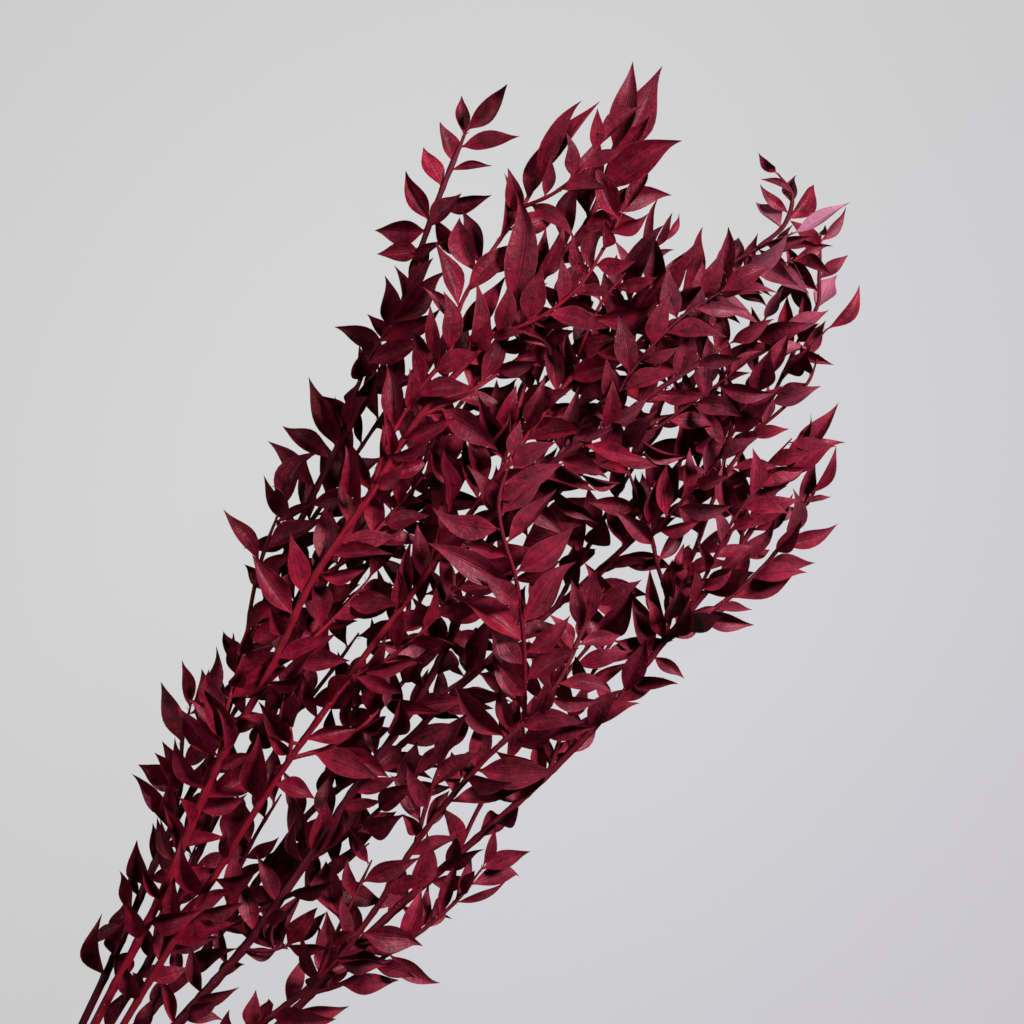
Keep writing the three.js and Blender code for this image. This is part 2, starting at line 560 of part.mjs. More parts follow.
/** The band's turns side by side, as one ring round the x axis with a rounded ridge for each turn. */
function bandSolid() {
  const halfWidth = (BAND_TURNS * BAND_STRAND) / 2;
  const outside = BAND_INSIDE + BAND_THICKNESS;
  const profile = [
    new THREE.Vector2(BAND_INSIDE, -halfWidth),
    new THREE.Vector2(outside - BAND_DIP, -halfWidth),
  ];
  for (let turn = 0; turn < BAND_TURNS; turn++) {
    const start = -halfWidth + turn * BAND_STRAND;
    profile.push(
      new THREE.Vector2(outside, start + 0.3 * BAND_STRAND),
      new THREE.Vector2(outside, start + 0.7 * BAND_STRAND),
      new THREE.Vector2(outside - BAND_DIP, start + BAND_STRAND),
    );
  }
  profile.push(new THREE.Vector2(BAND_INSIDE, halfWidth), profile[0].clone());
  const ring = new THREE.LatheGeometry(profile, BAND_SIDES);
  ring.rotateZ(-Math.PI / 2);
  ring.rotateX(Math.PI / BAND_SIDES);
  ring.translate(0, 0, BUNDLE_HEIGHT);
  return solidOfShape(ring);
}

// ---------------------------------------------------------------- putting the bunch together

for (const [number, stem] of STEMS.entries()) {
  stem.route = [...bundled(stem), ...stem.route];
  stem.grown = [stem, ...stem.shoots];
  stem.leaves = [];
  for (const shoot of stem.grown) {
    shoot.radius ??= SHOOT_RADIUS;
    shoot.seenX = shoot.route.map(([x]) => x);
    shoot.route = shoot.route.map(truePlace);
    shoot.lengths = lengthsOf(shoot.route);
    const along = [];
    for (let distance = 0; distance <= shoot.lengths.at(-1); distance += WOOD_SAMPLES) {
      along.push(walk(shoot, distance).point);
    }
    occupy(along, number, shoot.radius[0]);
  }
}
for (const setLeaves of [placeLeaves, growLeaves]) {
  for (const [number, stem] of STEMS.entries()) {
    stem.grown.forEach((shoot, k) => setLeaves(number, shoot, k, stem.leaves));
  }
}

const floor = new THREE.BoxGeometry(2000, 1000, 100).translate(0, 0, -50);
const underFloor = solidOfShape(floor);
const bunch = new THREE.Group();

for (const [number, stem] of STEMS.entries()) {
  let solid = solidOf(tube(stem, MAIN_SIDES));
  for (const shoot of stem.shoots) solid = solid.add(solidOf(tube(shoot, SHOOT_SIDES)));
  for (const leaf of stem.leaves) solid = solid.add(solidOf(blade(leaf)));
  solid = solid.subtract(underFloor).asOriginal().simplify(MERGED);
  bunch.add(meshOf(solid, `leafy_stem_${number + 1}`, LEAFY));
}
bunch.add(meshOf(bandSolid().subtract(underFloor), 'rubber_band', RUBBER));

const box = new THREE.Box3().setFromObject(bunch);
bunch.position.set(-(box.min.x + box.max.x) / 2, -(box.min.y + box.max.y) / 2, -box.min.z);

export default bunch;
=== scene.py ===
import itertools
import math

import bpy
import numpy as np
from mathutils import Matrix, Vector


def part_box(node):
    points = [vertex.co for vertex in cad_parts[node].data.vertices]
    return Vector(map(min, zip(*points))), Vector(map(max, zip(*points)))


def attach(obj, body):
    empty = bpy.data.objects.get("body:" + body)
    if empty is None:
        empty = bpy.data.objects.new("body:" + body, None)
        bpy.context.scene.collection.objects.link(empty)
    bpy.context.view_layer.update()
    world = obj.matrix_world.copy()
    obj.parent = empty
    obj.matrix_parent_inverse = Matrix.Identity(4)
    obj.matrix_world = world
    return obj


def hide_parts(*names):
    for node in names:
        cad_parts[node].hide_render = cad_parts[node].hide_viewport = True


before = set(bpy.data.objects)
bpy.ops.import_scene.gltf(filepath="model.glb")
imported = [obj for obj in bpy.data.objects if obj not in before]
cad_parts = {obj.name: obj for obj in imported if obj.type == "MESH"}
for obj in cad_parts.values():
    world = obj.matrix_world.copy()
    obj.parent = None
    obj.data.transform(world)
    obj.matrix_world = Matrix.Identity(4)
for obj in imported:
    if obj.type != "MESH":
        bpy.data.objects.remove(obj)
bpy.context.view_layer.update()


# ---- Stems and side shoots ----------------------------------------------------------------------------
# Each stem is a slim woody shoot, cut at its foot, with thinner side shoots growing from it. The dyed bark
# is crimson and finely ridged lengthwise, and swells a little wherever a leaf or a shoot leaves it.

# cut: how far behind the band the stem is cut. place: its place in the bundle, 0 in the middle and 1 to 7
# round it. placed: leaves whose tips matter, as (x of the foot, x of the tip, y of the tip), and the width
# of an unusual one.
STEMS = [
    dict(cut=66, place=1, radius=(2.2, 1.3),
         route=[(60, 13, 12), (133, 27, 15), (170, 34, 17), (230, 47, 19), (287, 56, 21), (331, 70, 22),
                (374, 81, 23), (440, 93, 23), (480, 97, 22), (530, 113, 18), (577, 127, 15),
                (606, 134, 12)],
         placed=[(186, 165, 47), (190, 207, 56), (200, 215, 53), (206, 221, 60), (218, 235, 57),
                 (318, 336, 80), (362, 367, 97, 9), (388, 372, 101, 9), (398, 408, 115, 10),
                 (418, 424, 123, 11), (434, 431, 122, 12), (440, 460, 126, 12), (452, 457, 116, 8),
                 (478, 487, 115, 9), (492, 490, 130, 12), (497, 504, 120, 9), (517, 531, 124),
                 (522, 546, 111, 11), (526, 551, 117, 9), (545, 530, 134, 12), (555, 541, 143, 14),
                 (559, 571, 148, 14), (562, 559, 88, 14), (568, 588, 105, 13), (577, 587, 147, 12),
                 (586, 600, 113), (590, 602, 148, 12), (598, 620, 110), (604, 620, 146), (606, 639, 130)],
         shoots=[
             dict(route=[(235, 48, 19), (249, 53, 25), (262, 60, 29), (277, 70, 32), (294, 77, 33)],
                  placed=[(236, 246, 71), (240, 250, 80), (254, 254, 81, 13), (246, 271, 60, 10),
                          (256, 270, 79), (275, 294, 96), (289, 311, 64), (292, 309, 94), (294, 325, 81)]),
             dict(route=[(287, 56, 21), (312, 58, 14), (342, 62, 9), (372, 66, 6), (398, 70, 5)]),
             dict(route=[(331, 70, 22), (352, 82, 29), (376, 92, 33), (398, 98, 34)]),
             dict(route=[(440, 93, 23), (462, 100, 32), (484, 106, 36), (506, 108, 38)],
                  placed=[(496, 527, 91, 14)]),
             dict(route=[(374, 81, 23), (400, 82, 14), (428, 83, 9), (456, 84, 6), (482, 85, 5)]),
         ]),
    dict(cut=70, place=2, radius=(2.3, 1.2),
         route=[(60, 9, 21), (137, 22, 30), (203, 32, 42), (277, 48, 56), (330, 55, 65), (377, 64, 71),
                (430, 66, 77), (477, 69, 80), (530, 64, 80), (570, 60, 78), (611, 59, 74), (640, 68, 70)],
         placed=[(508, 550, 86, 12), (541, 545, 37), (545, 600, 92, 17), (551, 558, 30), (566, 571, 24),
                 (566, 598, 66, 12), (588, 622, 75, 13), (598, 622, 40, 14), (606, 644, 78),
                 (612, 643, 33, 13), (620, 667, 47), (632, 666, 61), (636, 686, 75), (640, 684, 87, 14)],
         shoots=[
             dict(route=[(430, 66, 77), (457, 74, 80), (490, 77, 82), (512, 76, 83), (534, 85, 83),
                         (558, 88, 82), (592, 89, 78), (614, 91, 74)],
                  placed=[(488, 504, 94, 10), (520, 560, 76, 12), (533, 553, 114), (540, 578, 80, 12),
                          (572, 601, 105, 10), (596, 628, 98), (606, 655, 99, 10)]),
             dict(route=[(377, 64, 71), (400, 56, 68), (428, 52, 64), (454, 50, 60)]),
             dict(route=[(477, 69, 80), (498, 58, 76), (518, 50, 72), (538, 44, 68)]),
             dict(route=[(277, 48, 56), (300, 60, 58), (322, 68, 58), (346, 74, 56)]),
             dict(route=[(330, 55, 65), (352, 48, 62), (374, 44, 60), (396, 42, 58)]),
         ]),
    dict(cut=60, place=7, radius=(2.2, 1.1),
         route=[(60, 8, 7.5), (145, 16, 14), (190, 20, 22), (235, 30, 30), (300, 40, 34), (360, 46, 38),
                (430, 45, 40), (480, 38, 42), (536, 28, 46), (576, 26, 48), (604, 24, 48), (618, 23, 47)],
         placed=[(135, 158, 20, 8), (590, 606, 10), (597, 606, 42, 5), (604, 636, 40, 5), (609, 620, 15, 4),
                 (613, 634, 28, 5), (618, 636, 22, 5)],
         shoots=[
             dict(route=[(182, 19, 21), (199, 19, 30), (211, 24, 36), (223, 29, 40), (240, 34, 42)],
                  placed=[(199, 222, 5, 12), (212, 240, 17, 12), (225, 226, 48), (240, 262, 42)]),
             dict(route=[(300, 40, 34), (322, 32, 32), (346, 30, 30), (372, 30, 28)]),
             dict(route=[(430, 45, 40), (452, 52, 42), (478, 56, 42), (504, 56, 42), (530, 54, 42)]),
             dict(route=[(480, 38, 42), (502, 28, 38), (528, 18, 34), (552, 14, 32)]),
         ]),
    dict(cut=72, place=3, radius=(1.8, 1.1),
         route=[(60, 2, 22), (165, 12, 36), (234, 17, 47), (277, 20, 54), (350, 21, 62), (417, 20, 68),
                (480, 20, 70), (540, 19, 68), (585, 13, 62)],
         placed=[(286, 293, -1, 12), (575, 606, 2), (580, 632, 27, 13), (583, 632, 13, 13),
                 (585, 630, 6, 10)],
         shoots=[
             dict(route=[(301, 20.3, 56.5), (318, 8, 52), (332, 2, 48), (350, -1, 44), (385, -4, 38),
                         (403, -7, 35)],
                  placed=[(327, 349, 16), (346, 361, 18), (354, 365, -28), (368, 389, 16), (385, 409, 6),
                          (403, 424, -16)]),
             dict(route=[(298, 20.2, 56.2), (309, 26, 60), (316, 33, 62), (326, 39, 62), (340, 41, 60)]),
             dict(route=[(417, 20, 68), (440, 28, 71), (465, 33, 72), (490, 35, 70)]),
             dict(route=[(480, 20, 70), (505, 30, 66), (530, 38, 60), (556, 42, 56)]),
         ]),
    dict(cut=75, place=0, radius=(2.9, 1.2),
         route=[(60, -4, 13), (166, -12, 21), (210, -16, 26), (263, -16, 32), (310, -14, 38),
                (357, -14, 46), (400, -8, 55), (440, 2, 64), (470, 9, 71), (500, 1, 75), (526, -9, 76),
                (554, -18, 75), (580, -28, 73), (598, -35, 70)],
         placed=[(163, 177, -28, 8), (172, 193, -26, 9), (501, 509, -25), (509, 537, 13), (514, 526, -36),
                 (535, 556, 6), (598, 622, -44)],
         shoots=[
             dict(route=[(210, -16, 26), (214, -23, 28), (219, -29, 28), (226, -34, 27)],
                  placed=[(219, 236, -18), (222, 251, -25, 13), (224, 238, -50), (226, 250, -38, 10)]),
             dict(route=[(440, 2, 64), (478, 6, 56), (510, 9, 53), (540, 8, 53), (574, 2, 54),
                         (604, -1, 55), (626, -10, 55), (644, -18, 54), (661, -28, 52)],
                  placed=[(611, 616, -41, 13), (629, 627, -38), (640, 641, -46), (652, 665, -42),
                          (661, 691, -41, 9)]),
             dict(route=[(644, -18, 54), (664, -22, 54), (677, -16, 55), (681, -4, 54)],
                  placed=[(660, 661, -4, 12), (668, 670, 0, 6), (672, 686, -12, 9), (677, 673, 1, 5),
                          (681, 683, 9, 6)]),
             dict(route=[(263, -16, 32), (284, -24, 36), (306, -30, 38), (330, -34, 38)]),
             dict(route=[(357, -14, 46), (378, -24, 50), (400, -30, 52), (422, -32, 52)]),
             dict(route=[(500, 1, 75), (520, 2, 70), (545, -2, 66), (570, -6, 64)]),
         ]),
    dict(cut=64, place=6, radius=(2.2, 1.1),
         route=[(60, 1, 5), (149, 3, 6), (212, -2, 6), (290, -4, 6), (339, -20, 6), (381, -27, 7),
                (440, -42, 8), (520, -58, 12), (554, -60, 18), (576, -47, 26), (592, -34, 30)],
         placed=[(132, 156, 2, 8), (166, 190, -6, 8), (462, 489, -62, 6), (470, 492, -70, 5),
                 (576, 566, -30), (592, 612, -22), (590, 607, -44)],
         shoots=[
             dict(route=[(212, -2, 6), (234, 7, 9), (258, 12, 10), (284, 14, 9)]),
             dict(route=[(290, -4, 6), (318, 6, 9), (352, 10, 10), (388, 12, 9), (420, 18, 9)]),
             dict(route=[(212, -2, 6), (236, -14, 8), (262, -28, 9), (290, -36, 8)]),
             dict(route=[(381, -27, 7), (410, -22, 10), (444, -14, 11), (478, -8, 12), (510, -6, 12)]),
             dict(route=[(440, -42, 8), (470, -38, 11), (502, -34, 13), (534, -30, 15), (562, -22, 16)]),
             dict(route=[(388, 12, 9), (418, 30, 11), (448, 42, 11), (478, 50, 11), (508, 56, 10)]),
         ]),
    dict(cut=68, place=4, radius=(2.1, 1.1),
         route=[(60, -15, 15), (120, -29, 20), (187, -46, 27), (218, -55, 32), (263, -58, 38),
                (303, -55, 46), (357, -58, 54), (385, -63, 58), (410, -65, 58), (438, -60, 56),
                (462, -56, 54)],
         placed=[(179, 198, -34), (200, 226, -43, 9), (330, 357, -82), (351, 375, -91), (370, 395, -52, 11),
                 (373, 380, -23), (376, 394, -42, 8), (381, 401, -90), (401, 417, -88), (427, 436, -41),
                 (438, 457, -40), (440, 468, -46)],
         shoots=[
             dict(route=[(385, -63, 58), (396, -55, 65), (411, -44, 72), (423, -34, 77), (434, -24, 81),
                         (443, -14, 85), (451, -3, 88), (458, 5, 90), (466, 12, 91), (475, 16, 91),
                         (487, 19, 91)],
                  placed=[(388, 413, -22), (417, 415, 5), (423, 465, -34, 14), (437, 429, 29, 15),
                          (442, 479, -26, 14), (447, 438, 15), (451, 488, -7, 13), (456, 441, 36),
                          (461, 491, 1), (475, 502, -2), (487, 506, 27)]),
             dict(route=[(303, -55, 46), (322, -48, 50), (342, -42, 52), (362, -38, 52)],
                  placed=[(350, 373, -40, 9)]),
             dict(route=[(218, -55, 32), (240, -50, 36), (262, -46, 38), (284, -42, 38)]),
         ]),
    dict(cut=58, place=5, radius=(2.6, 1.2),
         route=[(60, -17, 7), (130, -36, 7), (190, -53, 8), (250, -62, 9), (310, -75, 10), (370, -88, 11),
                (403, -93, 12), (457, -96, 13), (519, -99, 14), (547, -97, 14), (565, -96, 13)],
         placed=[(201, 218, -76), (402, 427, -103, 10), (419, 443, -107), (446, 468, -66, 12),
                 (449, 450, -115), (464, 484, -68, 9), (500, 526, -106, 9), (508, 540, -110, 10),
                 (528, 556, -105, 9), (558, 594, -106), (561, 594, -96, 9), (565, 609, -95)],
         shoots=[
             dict(route=[(212, -56, 8.5), (223, -65, 13), (250, -76, 15), (277, -85, 15), (291, -88, 14),
                         (314, -89, 13)],
                  placed=[(224, 244, -88), (280, 310, -77, 8), (291, 316, -80, 9), (251, 251, -106),
                          (291, 315, -104, 5), (312, 334, -103, 10), (314, 334, -82, 7)]),
             dict(route=[(457, -96, 13), (477, -84, 23), (487, -71, 28), (497, -60, 31), (508, -44, 32),
                         (519, -28, 32)],
                  placed=[(506, 492, -23, 11)]),
             dict(route=[(457, -96, 13), (476, -103, 14), (505, -112, 13), (537, -115, 11), (566, -111, 9)],
                  placed=[(487, 496, -123), (492, 520, -103, 8), (495, 522, -131), (515, 533, -135),
                          (531, 556, -133), (556, 566, -121), (560, 588, -108, 8)]),
             dict(route=[(457, -96, 13), (480, -88, 20), (510, -80, 26), (540, -72, 29), (570, -71, 30),
                         (599, -66, 30), (626, -61, 30), (640, -59, 30), (652, -51, 29), (670, -39, 27)],
                  placed=[(548, 564, -90), (566, 581, -83), (590, 605, -80), (612, 621, -83, 8),
                          (650, 669, -57), (670, 672, -43, 6)]),
             dict(route=[(599, -66, 30), (616, -68, 28), (632, -70, 27)]),
             dict(route=[(310, -75, 10), (336, -70, 13), (364, -68, 14), (392, -68, 13), (420, -66, 14),
                         (446, -68, 15)],
                  placed=[(362, 390, -57, 11), (372, 399, -80, 11)]),
             dict(route=[(370, -88, 11), (398, -80, 13), (428, -76, 14), (458, -74, 13)]),
         ]),
]

BUNDLE_HEIGHT = 9.9  # middle of the bare bundle above the floor
BUNDLE_RADIUS = 8.5  # out to the bark of the stems round the middle one
BUNDLE_PLACES = 7
BUNDLE_END = 14  # the stems run side by side up to here, then fan out
SHOOT_RADIUS = (1.15, 0.85)
EYE = np.array([465.9, 3.6, 2255])  # the places of shoots and leaves are given as they look from here,
SEEN_HEIGHT = 55  # on a level at this height,
FANNED = (40, 120)  # more and more between these two places, and fully beyond them
CARRIER_STEP = 1.0  # between the points of a shoot's wood that a finer shoot may start from
UP = np.array([0.0, 0.0, 1.0])
MM = 0.001

band_low, band_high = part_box("rubber_band")
BAND_PLACE = np.array([(band_low.x + band_high.x) / 2, (band_low.y + band_high.y) / 2, 0])


def metres(points):
    """Places in the frame, from millimetres measured from the floor under the band."""
    return np.asarray(points, float) * MM + BAND_PLACE


def unit(vectors):
    """The same directions at length 1."""
    return vectors / np.linalg.norm(vectors, axis=-1, keepdims=True)


def bundled(stem):
    """The first two points of a stem, where it lies straight in the bundle."""
    angle = (stem["place"] - 1) / BUNDLE_PLACES * 2 * math.pi
    reach = 0 if stem["place"] == 0 else BUNDLE_RADIUS - stem["radius"][0]
    y = reach * math.cos(angle)
    z = BUNDLE_HEIGHT + reach * math.sin(angle)
    return [(-stem["cut"], y, z), (BUNDLE_END, y, z)]


def true_places(seen):
    """Real places of points given as they look from EYE: what lies low is further out than it looks."""
    seen = np.asarray(seen, float)
    wider = (EYE[2] - seen[..., 2:]) / (EYE[2] - SEEN_HEIGHT) - 1
    held = np.clip((seen[..., :1] - FANNED[0]) / (FANNED[1] - FANNED[0]), 0, 1)
    level = seen[..., :2] + (seen[..., :2] - EYE[:2]) * wider * held
    return np.concatenate([level, seen[..., 2:]], axis=-1)


def bend(shoot, straight_points=0):
    """Gives a shoot the slope of its smooth curve at each point of its route."""
    points = shoot["bends"]
    steps = np.linalg.norm(np.diff(points, axis=0), axis=1)[:, None]
    slopes = np.diff(points, axis=0) / steps
    between = (steps[1:] * slopes[:-1] + steps[:-1] * slopes[1:]) / (steps[1:] + steps[:-1])
    shoot["slopes"] = np.vstack([slopes[:1], between, slopes[-1:]])
    shoot["slopes"][:straight_points] = slopes[0]
    shoot["steps"] = steps[:, 0]


def curve_at(shoot, distances):
    """Points on the shoot's smooth curve, at distances measured along its straight route."""
    last = len(shoot["steps"]) - 1
    i = np.clip(np.searchsorted(shoot["lengths"], distances, side="right") - 1, 0, last)
    t = ((distances - shoot["lengths"][i]) / (shoot["lengths"][i + 1] - shoot["lengths"][i]))[:, None]
    h = shoot["steps"][i][:, None]
    a, b = shoot["bends"][i], shoot["bends"][i + 1]
    from_a, from_b = shoot["slopes"][i] * h, shoot["slopes"][i + 1] * h
    return ((2 * t**3 - 3 * t**2 + 1) * a + (t**3 - 2 * t**2 + t) * from_a
            + (3 * t**2 - 2 * t**3) * b + (t**3 - t**2) * from_b)


def set_out(stem, shoots):
    """Measures each of these shoots, and starts it on the curve of the wood that carries it."""
    for shoot in shoots:
        shoot.setdefault("radius", SHOOT_RADIUS)
        shoot["feet"] = []
        shoot["seen_x"] = [point[0] for point in shoot["route"]]
        shoot["route"] = true_places(shoot["route"])
        shoot["lengths"] = np.concatenate(
            [[0], np.cumsum(np.linalg.norm(np.diff(shoot["route"], axis=0), axis=1))])
        shoot["bends"] = shoot["route"].copy()
        if len(stem["carriers"]):
            nearest = np.linalg.norm(stem["carriers"] - shoot["bends"][0], axis=1).argmin()
            shoot["bends"][0] = stem["carriers"][nearest]
        bend(shoot, straight_points=2 if shoot is stem else 0)
        along = curve_at(shoot, np.arange(0, shoot["lengths"][-1], CARRIER_STEP))
        stem["carriers"] = np.vstack([stem["carriers"], along])


for stem in STEMS:
    stem["route"] = bundled(stem) + stem["route"]
    stem["grown"] = [stem, *stem["shoots"]]
    stem["carriers"] = np.zeros((0, 3))
    set_out(stem, stem["grown"])


# ---- Where the leaves grow ----------------------------------------------------------------------------
# The leaves are flattened shoots that sit one by one, left and right in turn. They have no room to cross
# each other in the bunch, so each one is turned up or down until it clears the leaves that are there.

BLADE_OUTLINE = [(0.09, 0), (0.36, 1), (0.7, 0.64), (1, 0)]  # place along the blade, share of its width
TWIST_PIVOT = 0.4  # where the twist of a blade leaves it as it is
FORM = dict(fold=(0.12, 0.5), arch=(-0.03, 0.11), sickle=(-0.07, 0.07), roll=(-0.75, 0.75),
            twist=(-0.8, 0.8))
LEAF_LENGTH = (27, 41)
LEAF_RATIO = (0.3, 0.42)  # width to length
LEAF_STEP_MAIN = 32  # between leaves on a main stem
LEAF_STEP_SHOOT = 22
STEP_CHANGE = (0.8, 1.2)
LEAF_ANGLE = (0.6, 1.05)  # between a leaf and its shoot
END_ANGLE = (0.05, 0.25)
LEAF_PITCH = (-0.7, 0.9)  # above or below the level, in radians
PLACED_LIFT = (-5, 9)  # of a placed leaf's tip over its foot
CROWDED = 9  # no leaf grows by rule this near another one's foot
LIFTS = (0, 6, -6, 12, -12, 18, -18, 25, -25)  # tried in turn, until the leaf has room
PITCHES = (0, 0.35, -0.35, 0.7, -0.7, 1.05, -1.05, 1.35, -1.35)
SEEDS_PER_STEM = 40
RULE_SEEDS = 0.5  # stems' worth of seeds between a placed leaf's draws and those of the leaves by rule
FIRST_LEAF = 158  # from the band
DEEPEST = -12  # a leaf's tip may point this far below the floor, and is then pressed flat on it
PRESSED = 0.3  # height of what lies pressed on the floor
OUTER_ROOM = dict(blade=3.0, own=2.2, wood=2.2)  # round the leaves that fill the bunch's outline
WOOD_SAMPLES = 3  # between the points that stand for the wood where room is looked for
BLADE_SAMPLES = (np.arange(2, 13) / 12, np.array([-1, -0.5, 0, 0.5, 1]))  # along and across a blade
STOUTEST = 3  # no stem's radius is more
CELL = 14  # of the grid that finds what is near

# whole numbers that mix a seed well, and the usual factor, step and range for drawing from it
SEED_MIX = (7919, 12345)
DRAW_MIX = (1664525, 1013904223)
DRAW_RANGE = 2**32

# Where hardly anything grows, as (x, y, radius) of round spots: outside the bunch's outline, and in the
# gaps through which the table shows.
BARE = [
    (166, 50, 8), (188, 57, 8), (323, 90, 8), (331, 94, 6), (342, 88, 11), (357, 98, 12), (398, 110, 9),
    (468, 113, 10), (484, 124, 6), (506, 123, 9), (190, -30, 7), (206, -31, 9), (262, -27, 5),
    (272, -48, 8), (293, -44, 12), (269, 12, 11), (311, 13, 12), (285, 24, 5), (312, 30, 6), (341, 28, 8),
    (364, 30, 7), (383, -24, 8), (214, -71, 5), (262, -94, 7), (283, -100, 9), (326, -95, 6),
    (331, -66, 11), (344, -97, 10), (358, -94, 8), (371, -101, 9), (390, -100, 13), (437, -112, 7),
    (471, -115, 9), (557, -123, 8), (478, -57, 10), (525, 51, 7), (584, -84, 13), (596, -92, 7),
    (617, -79, 9), (616, -90, 7), (637, -79, 9), (657, -79, 9), (674, -55, 9), (664, -44, 5), (640, 22, 10),
    (640, 6, 8), (684, -1, 8), (688, -31, 8), (615, 110, 8), (630, 98, 6), (620, 34, 6), (353, 84, 9),
    (481, -46, 8), (278, 14, 6), (398, -74, 6), (194, 54, 8), (254, -30, 6), (232, 64, 7), (310, 73, 6),
    (299, -96, 6), (580, -110, 6), (551, -123, 6), (485, 117, 6), (509, 115, 5), (649, -62, 5),
]

# The finest side shoots, which fill the leafy end, as routes for each stem by its number.
SMALL_RADIUS = (0.95, 0.7)
SMALL_SHOOTS = {
    2: [[(530, 64, 80), (552, 50, 85), (575, 43, 87), (600, 44, 85), (620, 47, 80)],
        [(592, 89, 78), (608, 80, 84), (624, 76, 88), (640, 76, 88)]],
    3: [[(536, 28, 46), (556, 18, 54), (578, 12, 60), (600, 10, 62)],
        [(360, 46, 38), (384, 56, 46), (410, 60, 50), (436, 58, 52)]],
    4: [[(309, 21, 61), (307, 28, 59), (312, 35, 59), (325, 42, 62)],
        [(540, 19, 68), (560, 26, 75), (580, 29, 79), (596, 28, 80)],
        [(350, 21, 62), (372, 10, 66), (396, 4, 68), (420, 4, 68)]],
    5: [[(470, 9, 71), (490, -6, 66), (512, -18, 62), (536, -28, 60), (560, -36, 60), (584, -44, 60)],
        [(574, 2, 54), (592, -8, 62), (610, -14, 66), (630, -18, 68)],
        [(526, -9, 76), (548, -4, 82), (572, -4, 85), (596, -8, 85), (616, -16, 82)],
        [(604, -1, 55), (620, -16, 46), (636, -26, 42), (650, -36, 40)]],
    6: [[(440, -42, 8), (464, -50, 14), (492, -52, 20), (520, -50, 24), (546, -50, 26), (572, -54, 28)],
        [(520, -58, 12), (540, -48, 22), (562, -44, 32), (584, -42, 38), (606, -42, 42), (624, -42, 44)]],
    8: [[(540, -72, 29), (560, -62, 36), (582, -56, 40), (604, -54, 42), (624, -50, 42)],
        [(497, -60, 31), (520, -62, 42), (544, -64, 50), (568, -62, 54), (594, -60, 54)],
        [(519, -99, 14), (538, -90, 22), (558, -86, 26), (578, -88, 28)],
        [(457, -96, 13), (480, -96, 24), (506, -92, 32), (532, -88, 38), (556, -90, 38)],
        [(570, -71, 30), (590, -76, 34), (606, -78, 34), (620, -74, 32)]],
}

# The same values again, for the small leaves that fill in between.
FILL_STEP_MAIN = 11
FILL_STEP_SHOOT = 8.4
FILL_LENGTH = (20, 34)
FILL_CROWDED = 3.7
FILL_ROOM = dict(blade=1.7, own=1.3, wood=0.6)
FILL_SEEDS = 20  # stems' worth of seeds between the first leaves' draws and these
FRONT_STEMS = (2, 4)  # these lie in front, and the small leaves leave them in sight
FRONT_REACH = range(150, 490, 4)  # from their feet
HIDING_SHARES = np.array([[0.3], [0.5], [0.7]])  # places along a blade that may hide them
HIDING_WIDTH = 0.35  # of the blade's width, to each side of its midrib

# Small leaves that matter for the outline: the stem, its shoot (0 for its own wood), where the leaf's foot
# is along it, where its tip is, and its width.
FILL_PLACED = [
    (1, 0, 556, 580, 116, 12), (2, 0, 588, 612, 46, 10), (2, 0, 560, 592, 74, 9), (2, 1, 512, 537, 95, 11),
    (2, 1, 612, 658, 89, 13), (3, 1, 205, 234, 8, 11), (5, 1, 224, 252, -33, 11), (5, 2, 604, 636, 14, 12),
    (6, 0, 140, 168, 6, 9), (6, 3, 256, 288, -32, 8), (7, 0, 296, 320, -72, 9), (7, 2, 338, 374, -38, 11),
    (8, 0, 565, 606, -98, 12), (8, 1, 256, 288, -70, 11), (8, 2, 519, 550, -34, 10),
    (8, 3, 548, 577, -103, 9), (8, 4, 614, 636, -44, 10), (8, 7, 410, 441, -90, 11),
    (8, 0, 425, 456, -88, 12), (8, 0, 400, 428, -91, 11), (7, 0, 350, 378, -42, 12),
    (2, 6, 586, 610, 50, 11), (6, 0, 340, 366, -35, 11), (2, 1, 444, 466, 84, 11),
    (8, 0, 298, 322, -83, 10), (2, 1, 494, 514, 99, 12), (2, 1, 545, 560, 66, 12),
]

# Bare spots that only the small leaves keep clear of.
FILL_BARE = [
    (313, 33, 7), (264, -56, 8), (314, 69, 7), (319, 73, 5), (386, 106, 9), (264, -49, 7), (554, 101, 8),
    (526, 53, 7), (606, -74, 7), (340, 27, 6), (398, -73, 6), (312, 72, 6), (477, 118, 7), (308, 7, 6),
    (258, -30, 6), (637, -73, 8), (219, -65, 7), (343, -12, 6), (439, 72, 6),
]

cells = {}  # what stands in each cell of the grid


def draws(seed):
    """A repeatable stream of numbers, each between low and high."""
    state = int(seed * SEED_MIX[0] + SEED_MIX[1])

    def draw(low, high):
        nonlocal state
        state = (state * DRAW_MIX[0] + DRAW_MIX[1]) % DRAW_RANGE
        return low + (high - low) * state / DRAW_RANGE

    return draw


def rib_at(leaf, s):
    """Points along the blade's midrib, with the directions across it and out of its face."""
    axis = leaf["tip"] - leaf["root"]
    side = unit(np.cross(axis, UP))
    over = unit(np.cross(side, axis))

    def turned(angle):
        cos, sin = np.cos(angle)[:, None], np.sin(angle)[:, None]
        return cos * side + sin * over, cos * over - sin * side

    along, out = turned(np.full(len(s), leaf["roll"]))
    bow = (4 * s * (1 - s) * np.linalg.norm(axis))[:, None]
    middle = leaf["root"] + axis * s[:, None] + out * leaf["arch"] * bow + along * leaf["sickle"] * bow
    middle[:, 2] = np.maximum(middle[:, 2], PRESSED)
    across, face = turned(leaf["roll"] + leaf["twist"] * (s - TWIST_PIVOT))
    return middle, across, face


